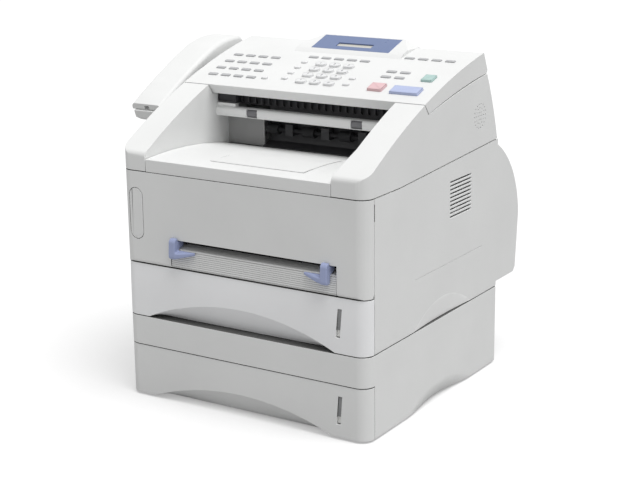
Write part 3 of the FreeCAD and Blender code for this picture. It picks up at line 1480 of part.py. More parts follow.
for name, item in zip(dial_names, dial_list):
    shapes["dial_key_" + name] = key(*item)
for name, item in zip(("stop_key", "start_key", "copy_key"), main_keys_list):
    shapes[name] = key(*item)

# The origin goes to the middle of the whole object, on the table
middle_x = (handset_left + body_width) / 2
middle_y = (bulge_reach - guide_overhang) / 2

os.makedirs("parts", exist_ok=True)
for name, shape in shapes.items():
    shape.translate(Vector(-middle_x, -middle_y, 0))
    shape.exportStep("parts/" + name + ".step")
    solids = shape.Solids
    if not shape.isValid() or not solids:
        print("not a valid solid:", name)
print(len(shapes), "nodes written")
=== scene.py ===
import json
import math

import bpy
from mathutils import Matrix, Vector

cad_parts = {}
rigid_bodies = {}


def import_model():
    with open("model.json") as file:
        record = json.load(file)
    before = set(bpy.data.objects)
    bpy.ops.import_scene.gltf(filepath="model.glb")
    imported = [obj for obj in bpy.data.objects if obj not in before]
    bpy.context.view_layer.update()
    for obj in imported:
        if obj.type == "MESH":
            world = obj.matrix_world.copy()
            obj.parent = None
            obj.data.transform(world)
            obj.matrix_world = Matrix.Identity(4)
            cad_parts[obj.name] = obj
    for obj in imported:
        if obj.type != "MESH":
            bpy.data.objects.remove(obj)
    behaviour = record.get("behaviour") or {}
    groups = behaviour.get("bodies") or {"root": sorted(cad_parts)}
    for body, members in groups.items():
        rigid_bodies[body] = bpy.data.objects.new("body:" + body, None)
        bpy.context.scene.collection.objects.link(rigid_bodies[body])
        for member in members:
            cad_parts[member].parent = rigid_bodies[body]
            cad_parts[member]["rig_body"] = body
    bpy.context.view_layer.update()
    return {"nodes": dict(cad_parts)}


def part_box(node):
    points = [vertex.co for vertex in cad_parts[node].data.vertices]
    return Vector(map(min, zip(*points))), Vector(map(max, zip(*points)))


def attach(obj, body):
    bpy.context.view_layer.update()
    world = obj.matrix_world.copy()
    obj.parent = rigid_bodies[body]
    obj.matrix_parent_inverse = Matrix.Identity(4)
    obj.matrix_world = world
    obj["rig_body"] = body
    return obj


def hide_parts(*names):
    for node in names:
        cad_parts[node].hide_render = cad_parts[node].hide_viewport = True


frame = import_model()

# Lower paper unit: the open-fronted tub that the whole machine stands on and that holds the second
# cassette. It is one injection moulding in off-white ABS with a fine spark-eroded grain, its edges
# rounded by the mould and given a lighter, glossier copy of the plastic as a painted highlight.


def grained_plastic(name, colour, roughness=0.5, grain=0.25, drift=0.03, pores=2600, specular=0.35):
    """Moulded plastic: a slow drift of tone, a fine sand-like grain and uneven gloss."""
    plastic = bpy.data.materials.new(name)
    plastic.use_nodes = True
    nodes, links = plastic.node_tree.nodes, plastic.node_tree.links
    shader = nodes["Principled BSDF"]
    place = nodes.new("ShaderNodeTexCoord")
    tone = nodes.new("ShaderNodeTexNoise")
    tone.inputs["Scale"].default_value = 9
    tone.inputs["Detail"].default_value = 5
    tone.inputs["Roughness"].default_value = 0.55
    shades = nodes.new("ShaderNodeValToRGB")
    shades.color_ramp.elements[0].position = 0.3
    shades.color_ramp.elements[1].position = 0.7
    shades.color_ramp.elements[0].color = [c * (1 - drift) for c in colour] + [1]
    shades.color_ramp.elements[1].color = [min(1, c * (1 + drift / 2)) for c in colour] + [1]
    rubbed = nodes.new("ShaderNodeTexNoise")
    rubbed.inputs["Scale"].default_value = 45
    rubbed.inputs["Detail"].default_value = 4
    gloss = nodes.new("ShaderNodeMapRange")
    gloss.inputs["To Min"].default_value = roughness - 0.08
    gloss.inputs["To Max"].default_value = roughness + 0.10
    sand = nodes.new("ShaderNodeTexNoise")
    sand.inputs["Scale"].default_value = pores
    sand.inputs["Detail"].default_value = 1
    bump = nodes.new("ShaderNodeBump")
    bump.inputs["Strength"].default_value = grain
    bump.inputs["Distance"].default_value = 0.00008
    links.new(place.outputs["Object"], tone.inputs["Vector"])
    links.new(place.outputs["Object"], rubbed.inputs["Vector"])
    links.new(place.outputs["Object"], sand.inputs["Vector"])
    links.new(tone.outputs["Fac"], shades.inputs["Fac"])
    links.new(shades.outputs["Color"], shader.inputs["Base Color"])
    links.new(rubbed.outputs["Fac"], gloss.inputs["Value"])
    links.new(gloss.outputs["Result"], shader.inputs["Roughness"])
    links.new(sand.outputs["Fac"], bump.inputs["Height"])
    links.new(bump.outputs["Normal"], shader.inputs["Normal"])
    shader.inputs["Specular IOR Level"].default_value = specular
    return plastic


def copied_solid(node):
    """A merged copy of a solid's mesh, selected and active."""
    bpy.ops.object.select_all(action="DESELECT")
    piece = bpy.data.objects.new(node + "_moulding", frame["nodes"][node].data.copy())
    bpy.context.scene.collection.objects.link(piece)
    piece.select_set(True)
    bpy.context.view_layer.objects.active = piece
    bpy.ops.object.mode_set(mode="EDIT")
    bpy.ops.mesh.select_mode(type="EDGE")
    bpy.ops.mesh.select_all(action="SELECT")
    bpy.ops.mesh.remove_doubles(threshold=2e-6)
    bpy.ops.object.mode_set(mode="OBJECT")
    return piece


def mark_creases(crease, sharp):
    """Edges that turn more than crease stay crisp; those past sharp are left for rounding over."""
    bpy.ops.object.mode_set(mode="EDIT")
    bpy.ops.mesh.select_all(action="DESELECT")
    bpy.ops.mesh.edges_select_sharp(sharpness=math.radians(crease))
    bpy.ops.mesh.mark_sharp()
    bpy.ops.mesh.select_all(action="DESELECT")
    bpy.ops.mesh.edges_select_sharp(sharpness=math.radians(sharp))
    bpy.ops.mesh.mark_sharp(clear=True)
    bpy.ops.object.mode_set(mode="OBJECT")


def stands_for(piece, node):
    """The dressed piece rides where its solid rides and is shown in its place."""
    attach(piece, frame["nodes"][node]["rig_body"])
    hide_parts(node)


def moulded_copy(node, edge, plastic, edge_highlight, sharp=40, rounds=2, crease=16, spared=(), shaped=None):
    """A merged copy of a moulding with its sharp edges rounded over, standing for the plain solid.
    Edges inside the spared boxes stay as they are, and shaped may first move some points."""
    piece = copied_solid(node)
    bpy.ops.object.mode_set(mode="EDIT")
    bpy.ops.mesh.select_all(action="SELECT")
    bpy.ops.mesh.dissolve_limited(angle_limit=math.radians(0.4))
    bpy.ops.object.mode_set(mode="OBJECT")
    if shaped:
        shaped(piece)
    mark_creases(crease, sharp)
    mesh = piece.data
    weight = mesh.attributes.new("bevel_weight_edge", "FLOAT", "EDGE")
    for line in mesh.edges:
        if not line.select:
            continue
        middle = (mesh.vertices[line.vertices[0]].co + mesh.vertices[line.vertices[1]].co) / 2
        inside = [all(low[i] < middle[i] < high[i] for i in range(3)) for low, high in spared]
        if any(inside):
            line.use_edge_sharp = True
        else:
            weight.data[line.index].value = 1
    mesh.materials.clear()
    mesh.materials.append(plastic)
    mesh.materials.append(edge_highlight)
    bpy.ops.object.shade_smooth(keep_sharp_edges=True)
    rounding = piece.modifiers.new("rounding", "BEVEL")
    rounding.width = edge
    rounding.segments = rounds
    rounding.limit_method = "WEIGHT"
    rounding.use_clamp_overlap = False
    # The rounded edge faces take the second material, a lighter copy of the plastic painted as a highlight.
    rounding.material = 1
    bpy.ops.object.modifier_apply(modifier="rounding")
    low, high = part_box(node)
    for point in mesh.vertices:
        point.co = [min(max(point.co[i], low[i]), high[i]) for i in range(3)]
    flats = piece.modifiers.new("flats", "WEIGHTED_NORMAL")
    flats.keep_sharp = True
    bpy.ops.object.modifier_apply(modifier="flats")
    stands_for(piece, node)
    return piece


def painted(node, finish):
    """A solid whose own shape is right gets its finish."""
    for holder in frame["nodes"][node].material_slots:
        holder.material = finish


least_dish = 2e-5


def shallower_hold(centre, foot, half_span, rise, share, bow=1, depth=0.011):
    """Gives a shaping step that eases the hand-holds in both sides to a share of their depth. With a bow
    over 1 the dish first runs level with the side and turns in towards its foot."""
    slope = math.hypot(rise, depth)
    reach = depth * rise / slope
    radius = (half_span ** 2 + reach ** 2) / (2 * reach)
    body_left, body_right = (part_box("lower_housing")[end][0] for end in (0, 1))
    bands = 6
    skin_slack = 5e-5

    def ease(piece):
        bpy.ops.object.mode_set(mode="EDIT")
        for step in range(1, bands):
            bpy.ops.mesh.select_all(action="SELECT")
            bpy.ops.mesh.bisect(plane_co=(0, 0, foot + rise * step / bands), plane_no=(0, 0, 1))
        bpy.ops.object.mode_set(mode="OBJECT")
        for point in piece.data.vertices:
            along, up = point.co.y - centre, point.co.z - foot
            if abs(along) > half_span:
                continue
            sag = radius - math.sqrt(radius ** 2 - along ** 2)
            scooped = depth * (1 - up / rise) - slope * sag / rise
            side = min(body_left, body_right, key=lambda wall: abs(wall - point.co.x))
            if scooped > least_dish and abs(abs(point.co.x - side) - scooped) < skin_slack:
                point.co.x = side + (point.co.x - side) * share * (scooped / depth) ** (bow - 1)

    return ease


body_low, body_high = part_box("lower_housing")
housing_white = grained_plastic("housing_white", (0.79, 0.795, 0.79))
# Lighter, glossier copy of the housing white for rounded edges: a painted highlight.
housing_rim = grained_plastic("housing_rim", (0.83, 0.835, 0.83), roughness=0.38, grain=0.08)
soft_edge = 0.0006
lower_hold_middle = body_low.y + 0.191
lower_hold_half_span = 0.09
lower_hold_rise = 0.024
lower_hold = (lower_hold_middle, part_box("lower_housing")[0][2], lower_hold_half_span, lower_hold_rise)
bowed_hold = shallower_hold(*lower_hold, share=0.85, bow=2.2)
moulded_copy("lower_housing", soft_edge, housing_white, housing_rim, shaped=bowed_hold)

# Feet: four turned pads of black nitrile rubber, dull and a little uneven in tone, pressed into rings
# under the lower unit.
rubber_black = grained_plastic("rubber_black", (0.028, 0.028, 0.03), roughness=0.75, grain=0.5, drift=0.25,
                               pores=1400, specular=0.25)
painted("rubber_feet", rubber_black)

# Housing screws: zinc-plated pan-head screws with a cross recess, turned and cold-headed, that hold the
# lower unit's floor and back to the posts inside it.


def zinc_steel(name, colour=(0.62, 0.63, 0.64), roughness=0.36, crystals=420):
    """Zinc-coated steel: a metal with the broad crystal patches of its coat."""
    steel = bpy.data.materials.new(name)
    steel.use_nodes = True
    nodes, links = steel.node_tree.nodes, steel.node_tree.links
    shader = nodes["Principled BSDF"]
    place = nodes.new("ShaderNodeTexCoord")
    crystal = nodes.new("ShaderNodeTexVoronoi")
    crystal.inputs["Scale"].default_value = crystals
    shades = nodes.new("ShaderNodeValToRGB")
    shades.color_ramp.elements[0].color = [c * 0.82 for c in colour] + [1]
    shades.color_ramp.elements[1].color = [c * 1.08 for c in colour] + [1]
    gloss = nodes.new("ShaderNodeMapRange")
    gloss.inputs["To Min"].default_value = roughness - 0.08
    gloss.inputs["To Max"].default_value = roughness + 0.12
    rolled = nodes.new("ShaderNodeTexNoise")
    rolled.inputs["Scale"].default_value = 900
    bump = nodes.new("ShaderNodeBump")
    bump.inputs["Strength"].default_value = 0.12
    bump.inputs["Distance"].default_value = 0.00005
    links.new(place.outputs["Object"], crystal.inputs["Vector"])
    links.new(place.outputs["Object"], rolled.inputs["Vector"])
    links.new(crystal.outputs["Color"], shades.inputs["Fac"])
    links.new(shades.outputs["Color"], shader.inputs["Base Color"])
    links.new(crystal.outputs["Color"], gloss.inputs["Value"])
    links.new(gloss.outputs["Result"], shader.inputs["Roughness"])
    links.new(rolled.outputs["Fac"], bump.inputs["Height"])
    links.new(bump.outputs["Normal"], shader.inputs["Normal"])
    shader.inputs["Metallic"].default_value = 1.0
    return steel


def picked(piece, kind, wanted):
    """Goes to edit mode with just the wanted edges or faces of the active piece selected."""
    bpy.ops.object.mode_set(mode="EDIT")
    bpy.ops.mesh.select_mode(type=kind)
    bpy.ops.mesh.select_all(action="DESELECT")
    bpy.ops.object.mode_set(mode="OBJECT")
    for part in piece.data.edges if kind == "EDGE" else piece.data.polygons:
        part.select = wanted(part)
    bpy.ops.object.mode_set(mode="EDIT")


screw_zinc = zinc_steel("screw_zinc", colour=(0.55, 0.55, 0.53), roughness=0.32, crystals=900)
screw_radius = 0.0034
screw_height = 0.0018
screw_crown = 0.0011
recess_size = (0.0036, 0.0009, 0.0018)
screw_seat = 0.0002
bpy.ops.object.select_all(action="DESELECT")
bpy.ops.mesh.primitive_cylinder_add(vertices=28, radius=screw_radius, depth=screw_height,
                                    location=(0, 0, screw_height / 2))
screw = bpy.context.object
screw.name = "housing_screw"
bpy.ops.object.transform_apply(location=True)
picked(screw, "EDGE", lambda line: all(screw.data.vertices[v].co.z > screw_height * 0.9
                                       for v in line.vertices))
bpy.ops.mesh.bevel(offset=screw_crown, segments=4, affect="EDGES", clamp_overlap=False)
bpy.ops.object.mode_set(mode="OBJECT")
recess_bits = []
for turn in (0, 90):
    bpy.ops.object.select_all(action="DESELECT")
    bpy.ops.mesh.primitive_cube_add(size=1, location=(0, 0, screw_height))
    bit = bpy.context.object
    bit.scale = recess_size
    bit.rotation_euler[2] = math.radians(turn)
    bpy.ops.object.transform_apply(location=True, rotation=True, scale=True)
    recess_bits.append(bit)
bpy.ops.object.select_all(action="DESELECT")
screw.select_set(True)
bpy.context.view_layer.objects.active = screw
for bit in recess_bits:
    recess = screw.modifiers.new("recess", "BOOLEAN")
    recess.object = bit
    recess.solver = "EXACT"
    bpy.ops.object.modifier_apply(modifier="recess")
    bpy.data.objects.remove(bit)
bpy.ops.object.shade_smooth_by_angle(angle=math.radians(35))
screw.data.materials.append(screw_zinc)


def drive_screw(name, spot, way, body):
    """A copy of the screw, driven in at a spot with its head facing the given way."""
    driven = screw.copy()
    driven.data = screw.data.copy()
    driven.name = name
    bpy.context.scene.collection.objects.link(driven)
    bpy.ops.object.select_all(action="DESELECT")
    driven.select_set(True)
    bpy.context.view_layer.objects.active = driven
    turn = Vector((0, 0, 1)).rotation_difference(Vector(way))
    driven.matrix_world = Matrix.Translation(spot) @ turn.to_matrix().to_4x4()
    bpy.ops.object.transform_apply(location=True, rotation=True, scale=True)
    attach(driven, body)


back_spots = [(0.03, 0.018), (0.03, 0.092), (0.342, 0.018), (0.342, 0.092), (0.186, 0.018)]
for number, (across, up) in enumerate(back_spots):
    spot = (body_low.x + across, body_high.y - screw_seat, up)
    drive_screw("back_screw_%d" % number, spot, (0, 1, 0), "machine")
floor_spots = [(0.06, 0.06), (0.312, 0.06), (0.06, 0.30), (0.312, 0.30)]
for number, (across, deep) in enumerate(floor_spots):
    spot = (body_low.x + across, body_low.y + deep, body_low.z + screw_seat)
    drive_screw("floor_screw_%d" % number, spot, (0, 0, -1), "machine")
bpy.data.objects.remove(screw)

# Cassettes: grey trays that hold the paper stock, each with a sprung sheet-steel plate that lifts the
# sheets, a rubber pickup roller above it, and an off-white front clipped on with a scooped finger grip
# and a slim window where the white level flag shows.
tray_grey = grained_plastic("tray_grey", (0.3, 0.3, 0.31), roughness=0.55)
# Lighter copy of the tray grey for rounded edges: a painted highlight.
tray_rim = grained_plastic("tray_rim", (0.36, 0.36, 0.37), roughness=0.42, grain=0.1)
flag_white = grained_plastic("flag_white", (0.85, 0.85, 0.83), roughness=0.4)
zinc_sheet = zinc_steel("zinc_sheet")
moulding_edge = 0.0005
crown_reach = 0.048
crown_set_backs = {"lower": 0.0007, "upper": 0.0022}
crown_steps = 8
front_corner = 0.017
front_slack = 0.0002


def crowned_front(piece):
    """Leans the upper part of a cassette front back in a slow curve that dies out round its corners."""
    set_back = crown_set_backs[piece.name.split("_")[0]]
    corners = [Vector(c) for c in piece.bound_box]
    left, right = min(c.x for c in corners), max(c.x for c in corners)
    face_y, top = min(c.y for c in corners), max(c.z for c in corners)
    start = top - crown_reach
    bpy.ops.object.mode_set(mode="EDIT")
    for step in range(crown_steps):
        bpy.ops.mesh.select_all(action="SELECT")
        bpy.ops.mesh.bisect(plane_co=(0, 0, start + crown_reach * step / crown_steps), plane_no=(0, 0, 1))
    bpy.ops.object.mode_set(mode="OBJECT")
    for point in piece.data.vertices:
        inset, deep = min(point.co.x - left, right - point.co.x), point.co.y - face_y
        if point.co.z <= start or deep > front_corner:
            continue
        if inset < front_corner:
            outside = abs(math.hypot(front_corner - inset, front_corner - deep) - front_corner) < front_slack
        else:
            outside = deep < front_slack
        if outside:
            share = (front_corner - deep) / front_corner if inset < front_corner else 1
            point.co.y += set_back * share ** 2 * ((point.co.z - start) / crown_reach) ** 2


pane_grey = grained_plastic("pane_grey", (0.34, 0.345, 0.35), roughness=0.18, grain=0.04, drift=0.06,
                            specular=0.5)
pane_grey.node_tree.nodes["Principled BSDF"].inputs["Alpha"].default_value = 0.8
pane_width = 0.0056
pane_lean = 0.0019
pane_height = 0.0268
pane_thickness = 0.001
pane_edge = 0.0002
pane_below_top = 0.0146
pane_set_back = 0.0023
pane_middle_x = body_low.x + 0.3326
# The upper cassette front takes a lighter copy of the housing white: painted light for the brighter tone of
# that front.
cassette_white = grained_plastic("cassette_white", (0.9, 0.905, 0.915), roughness=0.45)
front_plastics = {"lower": housing_white, "upper": cassette_white}
for level in ("lower", "upper"):
    moulded_copy(level + "_cassette_tray", moulding_edge, tray_grey, tray_rim)
    painted(level + "_lift_plate", zinc_sheet)
    painted(level + "_level_flag", flag_white)
    painted(level + "_pickup_roller", rubber_black)
    moulded_copy(level + "_cassette_front", moulding_edge, front_plastics[level], housing_rim,
                 shaped=crowned_front)
    low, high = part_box(level + "_cassette_front")
    pane_top = high.z - pane_below_top
    bpy.ops.object.select_all(action="DESELECT")
    bpy.ops.mesh.primitive_cube_add(
        size=1, location=(pane_middle_x, low.y + pane_set_back, pane_top - pane_height / 2))
    pane = bpy.context.object
    pane.name = level + "_level_window"
    pane.scale = (pane_width, pane_thickness, pane_height)
    bpy.ops.object.transform_apply(location=True, rotation=True, scale=True)
    for point in pane.data.vertices:
        point.co.x -= pane_lean * (pane_top - point.co.z) / pane_height
    bpy.ops.object.mode_set(mode="EDIT")
    bpy.ops.mesh.select_all(action="SELECT")
    bpy.ops.mesh.bevel(offset=pane_edge, segments=2, affect="EDGES")
    bpy.ops.object.mode_set(mode="OBJECT")
    bpy.ops.object.shade_smooth_by_angle(angle=math.radians(35))
    pane.data.materials.append(pane_grey)
    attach(pane, level + "_cassette")

# Chassis: side plates and decks folded from galvanised steel sheet and riveted, with the drive motor,
# the power board and the main board screwed to its sides.
painted("main_frame", zinc_sheet)
painted("drive_motor", zinc_steel("motor_steel", colour=(0.5, 0.5, 0.51), roughness=0.3, crystals=400))


def printed_board(name, mask=(0.03, 0.16, 0.075), track=(0.06, 0.26, 0.13), pitch=420):
    """A glass-fibre board under green solder mask, its copper tracks showing paler through it."""
    board = bpy.data.materials.new(name)
    board.use_nodes = True
    nodes, links = board.node_tree.nodes, board.node_tree.links
    shader = nodes["Principled BSDF"]
    place = nodes.new("ShaderNodeTexCoord")
    tracks = nodes.new("ShaderNodeTexBrick")
    tracks.inputs["Scale"].default_value = pitch
    tracks.inputs["Color1"].default_value = (*mask, 1)
    tracks.inputs["Color2"].default_value = [c * 0.8 for c in mask] + [1]
    tracks.inputs["Mortar"].default_value = (*track, 1)
    tracks.inputs["Mortar Size"].default_value = 0.05
    bump = nodes.new("ShaderNodeBump")
    bump.inputs["Strength"].default_value = 0.3
    bump.inputs["Distance"].default_value = 0.0001
    links.new(place.outputs["Object"], tracks.inputs["Vector"])
    links.new(tracks.outputs["Color"], shader.inputs["Base Color"])
    links.new(tracks.outputs["Fac"], bump.inputs["Height"])
    links.new(bump.outputs["Normal"], shader.inputs["Normal"])
    shader.inputs["Roughness"].default_value = 0.35
    return board


board_green = printed_board("board_green")
socket_black = grained_plastic("socket_black", (0.03, 0.03, 0.032), roughness=0.42, drift=0.15)
blade_nickel = zinc_steel("blade_nickel", colour=(0.6, 0.58, 0.52), roughness=0.25, crystals=1200)
board_edge = 0.00015
socket_reach = 0.0405
blade_start = 0.0028
blade_end = 0.013
blade_girth = 0.036
for node in ("power_supply", "main_board"):
    board = moulded_copy(node, board_edge, board_green, board_green)
    board.data.materials.append(socket_black)
    board.data.materials.append(blade_nickel)
    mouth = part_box(node)[0].x
    for face in board.data.polygons:
        spots = [board.data.vertices[v].co for v in face.vertices]
        girth = sum((spots[i] - spots[i - 1]).length for i in range(len(spots)))
        if face.center.x < mouth + socket_reach:
            face.material_index = 2
        if node == "power_supply" and blade_start < face.center.x - mouth < blade_end and girth < blade_girth:
            face.material_index = 3

# Telephone jack contacts: gold-flashed phosphor bronze wires, four to a jack, that lie level at the mouth
# and bend down to the board at the back.
contact_gold = zinc_steel("contact_gold", colour=(0.78, 0.58, 0.27), roughness=0.22, crystals=1500)
contact_pitch = 0.0016
contact_count = 4
contact_size = (0.005, 0.0006, 0.0005)
contact_bend = (0.0042, 0, -0.0022)
contact_edge = 0.00012
contact_mouth = body_low.x + 0.0066
contact_level = 0.2318
jack_count = 3
jack_pitch = 0.018
first_jack_y = body_low.y + 0.2885
bpy.ops.object.select_all(action="DESELECT")
bpy.ops.mesh.primitive_cube_add(size=1, location=(0, 0, 0))
comb = bpy.context.object
comb.scale = contact_size
bpy.ops.object.transform_apply(location=True, rotation=True, scale=True)
picked(comb, "FACE", lambda face: face.normal.x > 0.9)
bpy.ops.mesh.extrude_region_move(TRANSFORM_OT_translate={"value": contact_bend})
bpy.ops.mesh.select_all(action="SELECT")
bpy.ops.mesh.bevel(offset=contact_edge, segments=2, affect="EDGES")
for number in range(contact_count - 1):
    bpy.ops.mesh.select_linked()
    bpy.ops.mesh.duplicate_move(TRANSFORM_OT_translate={"value": (0, contact_pitch, 0)})
bpy.ops.object.mode_set(mode="OBJECT")
comb.data.materials.append(contact_gold)
for number in range(jack_count):
    first_wire_y = first_jack_y + number * jack_pitch - (contact_count - 1) / 2 * contact_pitch
    wires = comb.copy()
    wires.data = comb.data.copy()
    wires.name = "jack_contacts_%d" % number
    bpy.context.scene.collection.objects.link(wires)
    for point in wires.data.vertices:
        point.co += Vector((contact_mouth, first_wire_y, contact_level))
    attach(wires, "machine")
bpy.data.objects.remove(comb)

# Print engine: the laser scanner, drum unit, toner cartridge and fuser slide in as closed units of
# black glass-filled plastic, and the paper leaves between a black guide and rubber-sleeved rollers.
dark_plastic = grained_plastic("dark_plastic", (0.035, 0.035, 0.038), roughness=0.5, drift=0.2)
# Lighter copy of the dark plastic for rounded edges: a painted highlight.
dark_rim = grained_plastic("dark_rim", (0.055, 0.055, 0.058), roughness=0.4, grain=0.1)
guide_edge = 0.0004
for node in ("laser_scanner", "drum_unit", "toner_cartridge", "fuser_unit"):
    moulded_copy(node, moulding_edge, dark_plastic, dark_rim)
moulded_copy("paper_exit_guide", guide_edge, dark_plastic, dark_rim)
painted("paper_exit_roller", rubber_black)

# Side and rear covers: broad off-white mouldings hooked onto the chassis, the right one with a louvred
# vent, and a rear door that swings down on two pins to clear a jam.


def hold_painted_paler(piece, finish, centre, foot, half_span, rise):
    """Paints the outward faces in the dish of a hold in the paler finish, a painted light for the bounce from
    the floor that lights the dish.
    """
    piece.data.materials.append(finish)
    low, high = (Vector(c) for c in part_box("lower_housing"))
    middle = (low.x + high.x) / 2
    for face in piece.data.polygons:
        dished = min(face.center.x - low.x, high.x - face.center.x) > least_dish
        outward = abs(face.normal.x) > 0.6 and face.normal.x * (face.center.x - middle) > 0
        within = abs(face.center.y - centre) < half_span and 0 < face.center.z - foot < rise
        if dished and outward and within:
            face.material_index = len(piece.data.materials) - 1


# Paler copy of the housing white for the hold dishes: painted light from the floor's bounce.
housing_worn = grained_plastic("housing_worn", (0.9, 0.905, 0.9), roughness=0.42, grain=0.12)
upper_hold_middle = body_low.y + 0.196
upper_hold_half_span = 0.08
upper_hold_rise = 0.028
for node in ("left_side_cover", "right_side_cover"):
    upper_hold = (upper_hold_middle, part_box(node)[0].z, upper_hold_half_span, upper_hold_rise)
    cover = moulded_copy(node, moulding_edge, housing_white, housing_rim,
                         shaped=shallower_hold(*upper_hold, share=0.3))
    hold_painted_paler(cover, housing_worn, *upper_hold)
moulded_copy("rear_cover", moulding_edge, housing_white, housing_rim)

# Front cover: the off-white door that hinges down from its foot to reach the toner, with a blanking
# plate snapped into a long slot at its left, and the ribbed tray for sheets fed by hand.
for node in ("front_cover", "blanking_plate"):
    moulded_copy(node, moulding_edge, housing_white, housing_rim)
# The narrow faces in the tray's ribbing take a mid grey: painted shade in the grooves.
groove_grey = grained_plastic("groove_grey", (0.45, 0.452, 0.45), roughness=0.6)
rib_edge = 0.00012
groove_least = 0.0004
groove_most = 0.0011
ribbed = moulded_copy("manual_feed_tray", rib_edge, housing_white, housing_rim)
ribbed.data.materials.append(groove_grey)
for face in ribbed.data.polygons:
    heights = [ribbed.data.vertices[v].co.z for v in face.vertices]
    if face.normal.y < -0.8 and groove_least < max(heights) - min(heights) < groove_most:
        face.material_index = 2

# Paper guides: two soft blue acetal sliders that close on a sheet in the hand-feed tray, with rounded
# finger tabs.
guide_blue = grained_plastic("guide_blue", (0.36, 0.41, 0.62), roughness=0.4, grain=0.1)
slider_voxel = 0.0004
slider_rounds = 48
for side in ("left", "right"):
    node = "manual_guide_" + side
    slider = copied_solid(node)
    slider.data.materials.clear()
    slider.data.materials.append(guide_blue)
    skin = slider.modifiers.new("skin", "REMESH")
    skin.mode = "VOXEL"
    skin.voxel_size = slider_voxel
    bpy.ops.object.modifier_apply(modifier="skin")
    ease = slider.modifiers.new("ease", "SMOOTH")
    ease.factor = 0.5
    ease.iterations = slider_rounds
    bpy.ops.object.modifier_apply(modifier="ease")
    low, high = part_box(node)
    for point in slider.data.vertices:
        point.co = [min(max(point.co[i], low[i]), high[i]) for i in range(3)]
    bpy.ops.object.shade_smooth()
    stands_for(slider, node)

# Top housing: the large off-white hood whose two sloping arms frame the paper bay and carry the panel.
# The speaker is screwed behind a ring of drilled holes in its right wall.
speaker_low, speaker_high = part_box("speaker")
behind_speaker = Vector((0.02, 0.004, 0.004))
before_speaker = Vector((0.03, 0.004, 0.004))
speaker_zone = (speaker_low - behind_speaker, speaker_high + before_speaker)
hood = moulded_copy("top_housing", moulding_edge, housing_white, housing_rim,
                    spared=[speaker_zone])
painted("speaker", dark_plastic)
# The back wall of the paper bay under the bar is painted dark grey as painted shade.
bay_grey = grained_plastic("bay_grey", (0.34, 0.34, 0.34), roughness=0.6)
hood.data.materials.append(bay_grey)
bay_back_y = body_low.y + 0.186
bay_back_top = 0.372
bay_back_slack = 0.0004
for face in hood.data.polygons:
    on_back = abs(face.center.y - bay_back_y) < bay_back_slack and face.center.z < bay_back_top
    if on_back and face.normal.y < -0.9:
        face.material_index = 2

# Output tray: the off-white floor of the paper bay that printed sheets drop onto, with a hinged flap
# that stands up as a paper stop.
moulded_copy("output_tray", soft_edge, housing_white, housing_rim)
flap_edge = 0.0004
flap_crown = 0.0008


def proud_flap(piece):
    """The flap's upper skin stands a little above the tray, so that a nail catches its edge."""
    for point in piece.data.vertices:
        if point.normal.z > 0.3:
            point.co.z += flap_crown


moulded_copy("output_tray_flap", flap_edge, housing_white, housing_rim, shaped=proud_flap)

# Document scanner: the black reader under the panel, its comb of ribs guiding the sheet out over a pale
# guide bar that carries two grey rubber rollers.
comb_edge = 0.0003
moulded_copy("document_scanner", comb_edge, dark_plastic, dark_rim)
moulded_copy("document_exit_bar", moulding_edge, housing_white, housing_rim)
cheek_low = Vector((body_low.x + 0.0408, body_low.y + 0.163, 0.3763))
cheek_high = Vector((body_low.x + 0.0705, body_low.y + 0.1778, 0.3874))
cheek_wall = 0.0018
cheek_hollow = 0.002
cheek_edge = 0.0004
bpy.ops.object.select_all(action="DESELECT")
bpy.ops.mesh.primitive_cube_add(size=1, location=(cheek_low + cheek_high) / 2)
cheek = bpy.context.object
cheek.name = "scanner_cheek"
cheek.scale = cheek_high - cheek_low
bpy.ops.object.transform_apply(location=True, rotation=True, scale=True)
picked(cheek, "FACE", lambda face: face.normal.y < -0.9)
bpy.ops.mesh.inset(thickness=cheek_wall)
bpy.ops.mesh.extrude_region_move(TRANSFORM_OT_translate={"value": (0, cheek_hollow, 0)})
bpy.ops.mesh.select_all(action="SELECT")
bpy.ops.mesh.bevel(offset=cheek_edge, segments=2, affect="EDGES")
bpy.ops.object.mode_set(mode="OBJECT")
bpy.ops.object.shade_smooth_by_angle(angle=math.radians(35))
cheek.data.materials.append(dark_plastic)
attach(cheek, frame["nodes"]["document_scanner"]["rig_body"])
roller_grey = grained_plastic("roller_grey", (0.2, 0.2, 0.21), roughness=0.7, grain=0.4, drift=0.12,
                              pores=1400)
painted("document_exit_rollers", roller_grey)

# Control panel: the off-white lid over the scanner, one wide moulding bent to a gentle arc that lifts on
# rear hinges, pierced for every key. Its front lip is rounded where hands lift it.
panel_arc_y = body_low.y + 0.45192
panel_arc_z = -0.42101
panel_arc_radius = 0.8795
lip_top_y = body_low.y + 0.1434
lip_strip = 0.0009
lip_depth = 0.012
lip_round = 0.0006
lip_slack = 0.0002
arc_slack = 0.0003
panel = copied_solid("control_panel")
bpy.ops.object.mode_set(mode="EDIT")
bpy.ops.mesh.select_all(action="SELECT")
bpy.ops.mesh.bisect(plane_co=(0, lip_top_y + lip_strip, 0), plane_no=(0, 1, 0))
picked(panel, "FACE", lambda face: face.normal.z > 0.8 and face.center.y < lip_top_y + lip_strip)
bpy.ops.mesh.dissolve_faces()
picked(panel, "FACE", lambda face: face.normal.y < -0.5 and face.normal.z < -0.3
       and face.center.y < lip_top_y + lip_depth)
bpy.ops.mesh.dissolve_faces()
picked(panel, "EDGE", lambda line: all(abs(panel.data.vertices[v].co.y - lip_top_y) < lip_slack
                                       for v in line.vertices))
bpy.ops.mesh.bevel(offset=lip_round, segments=4, affect="EDGES", clamp_overlap=False)
bpy.ops.object.mode_set(mode="OBJECT")
mark_creases(25, 181)
panel.data.materials.clear()
panel.data.materials.append(housing_white)
bpy.ops.object.shade_smooth(keep_sharp_edges=True)
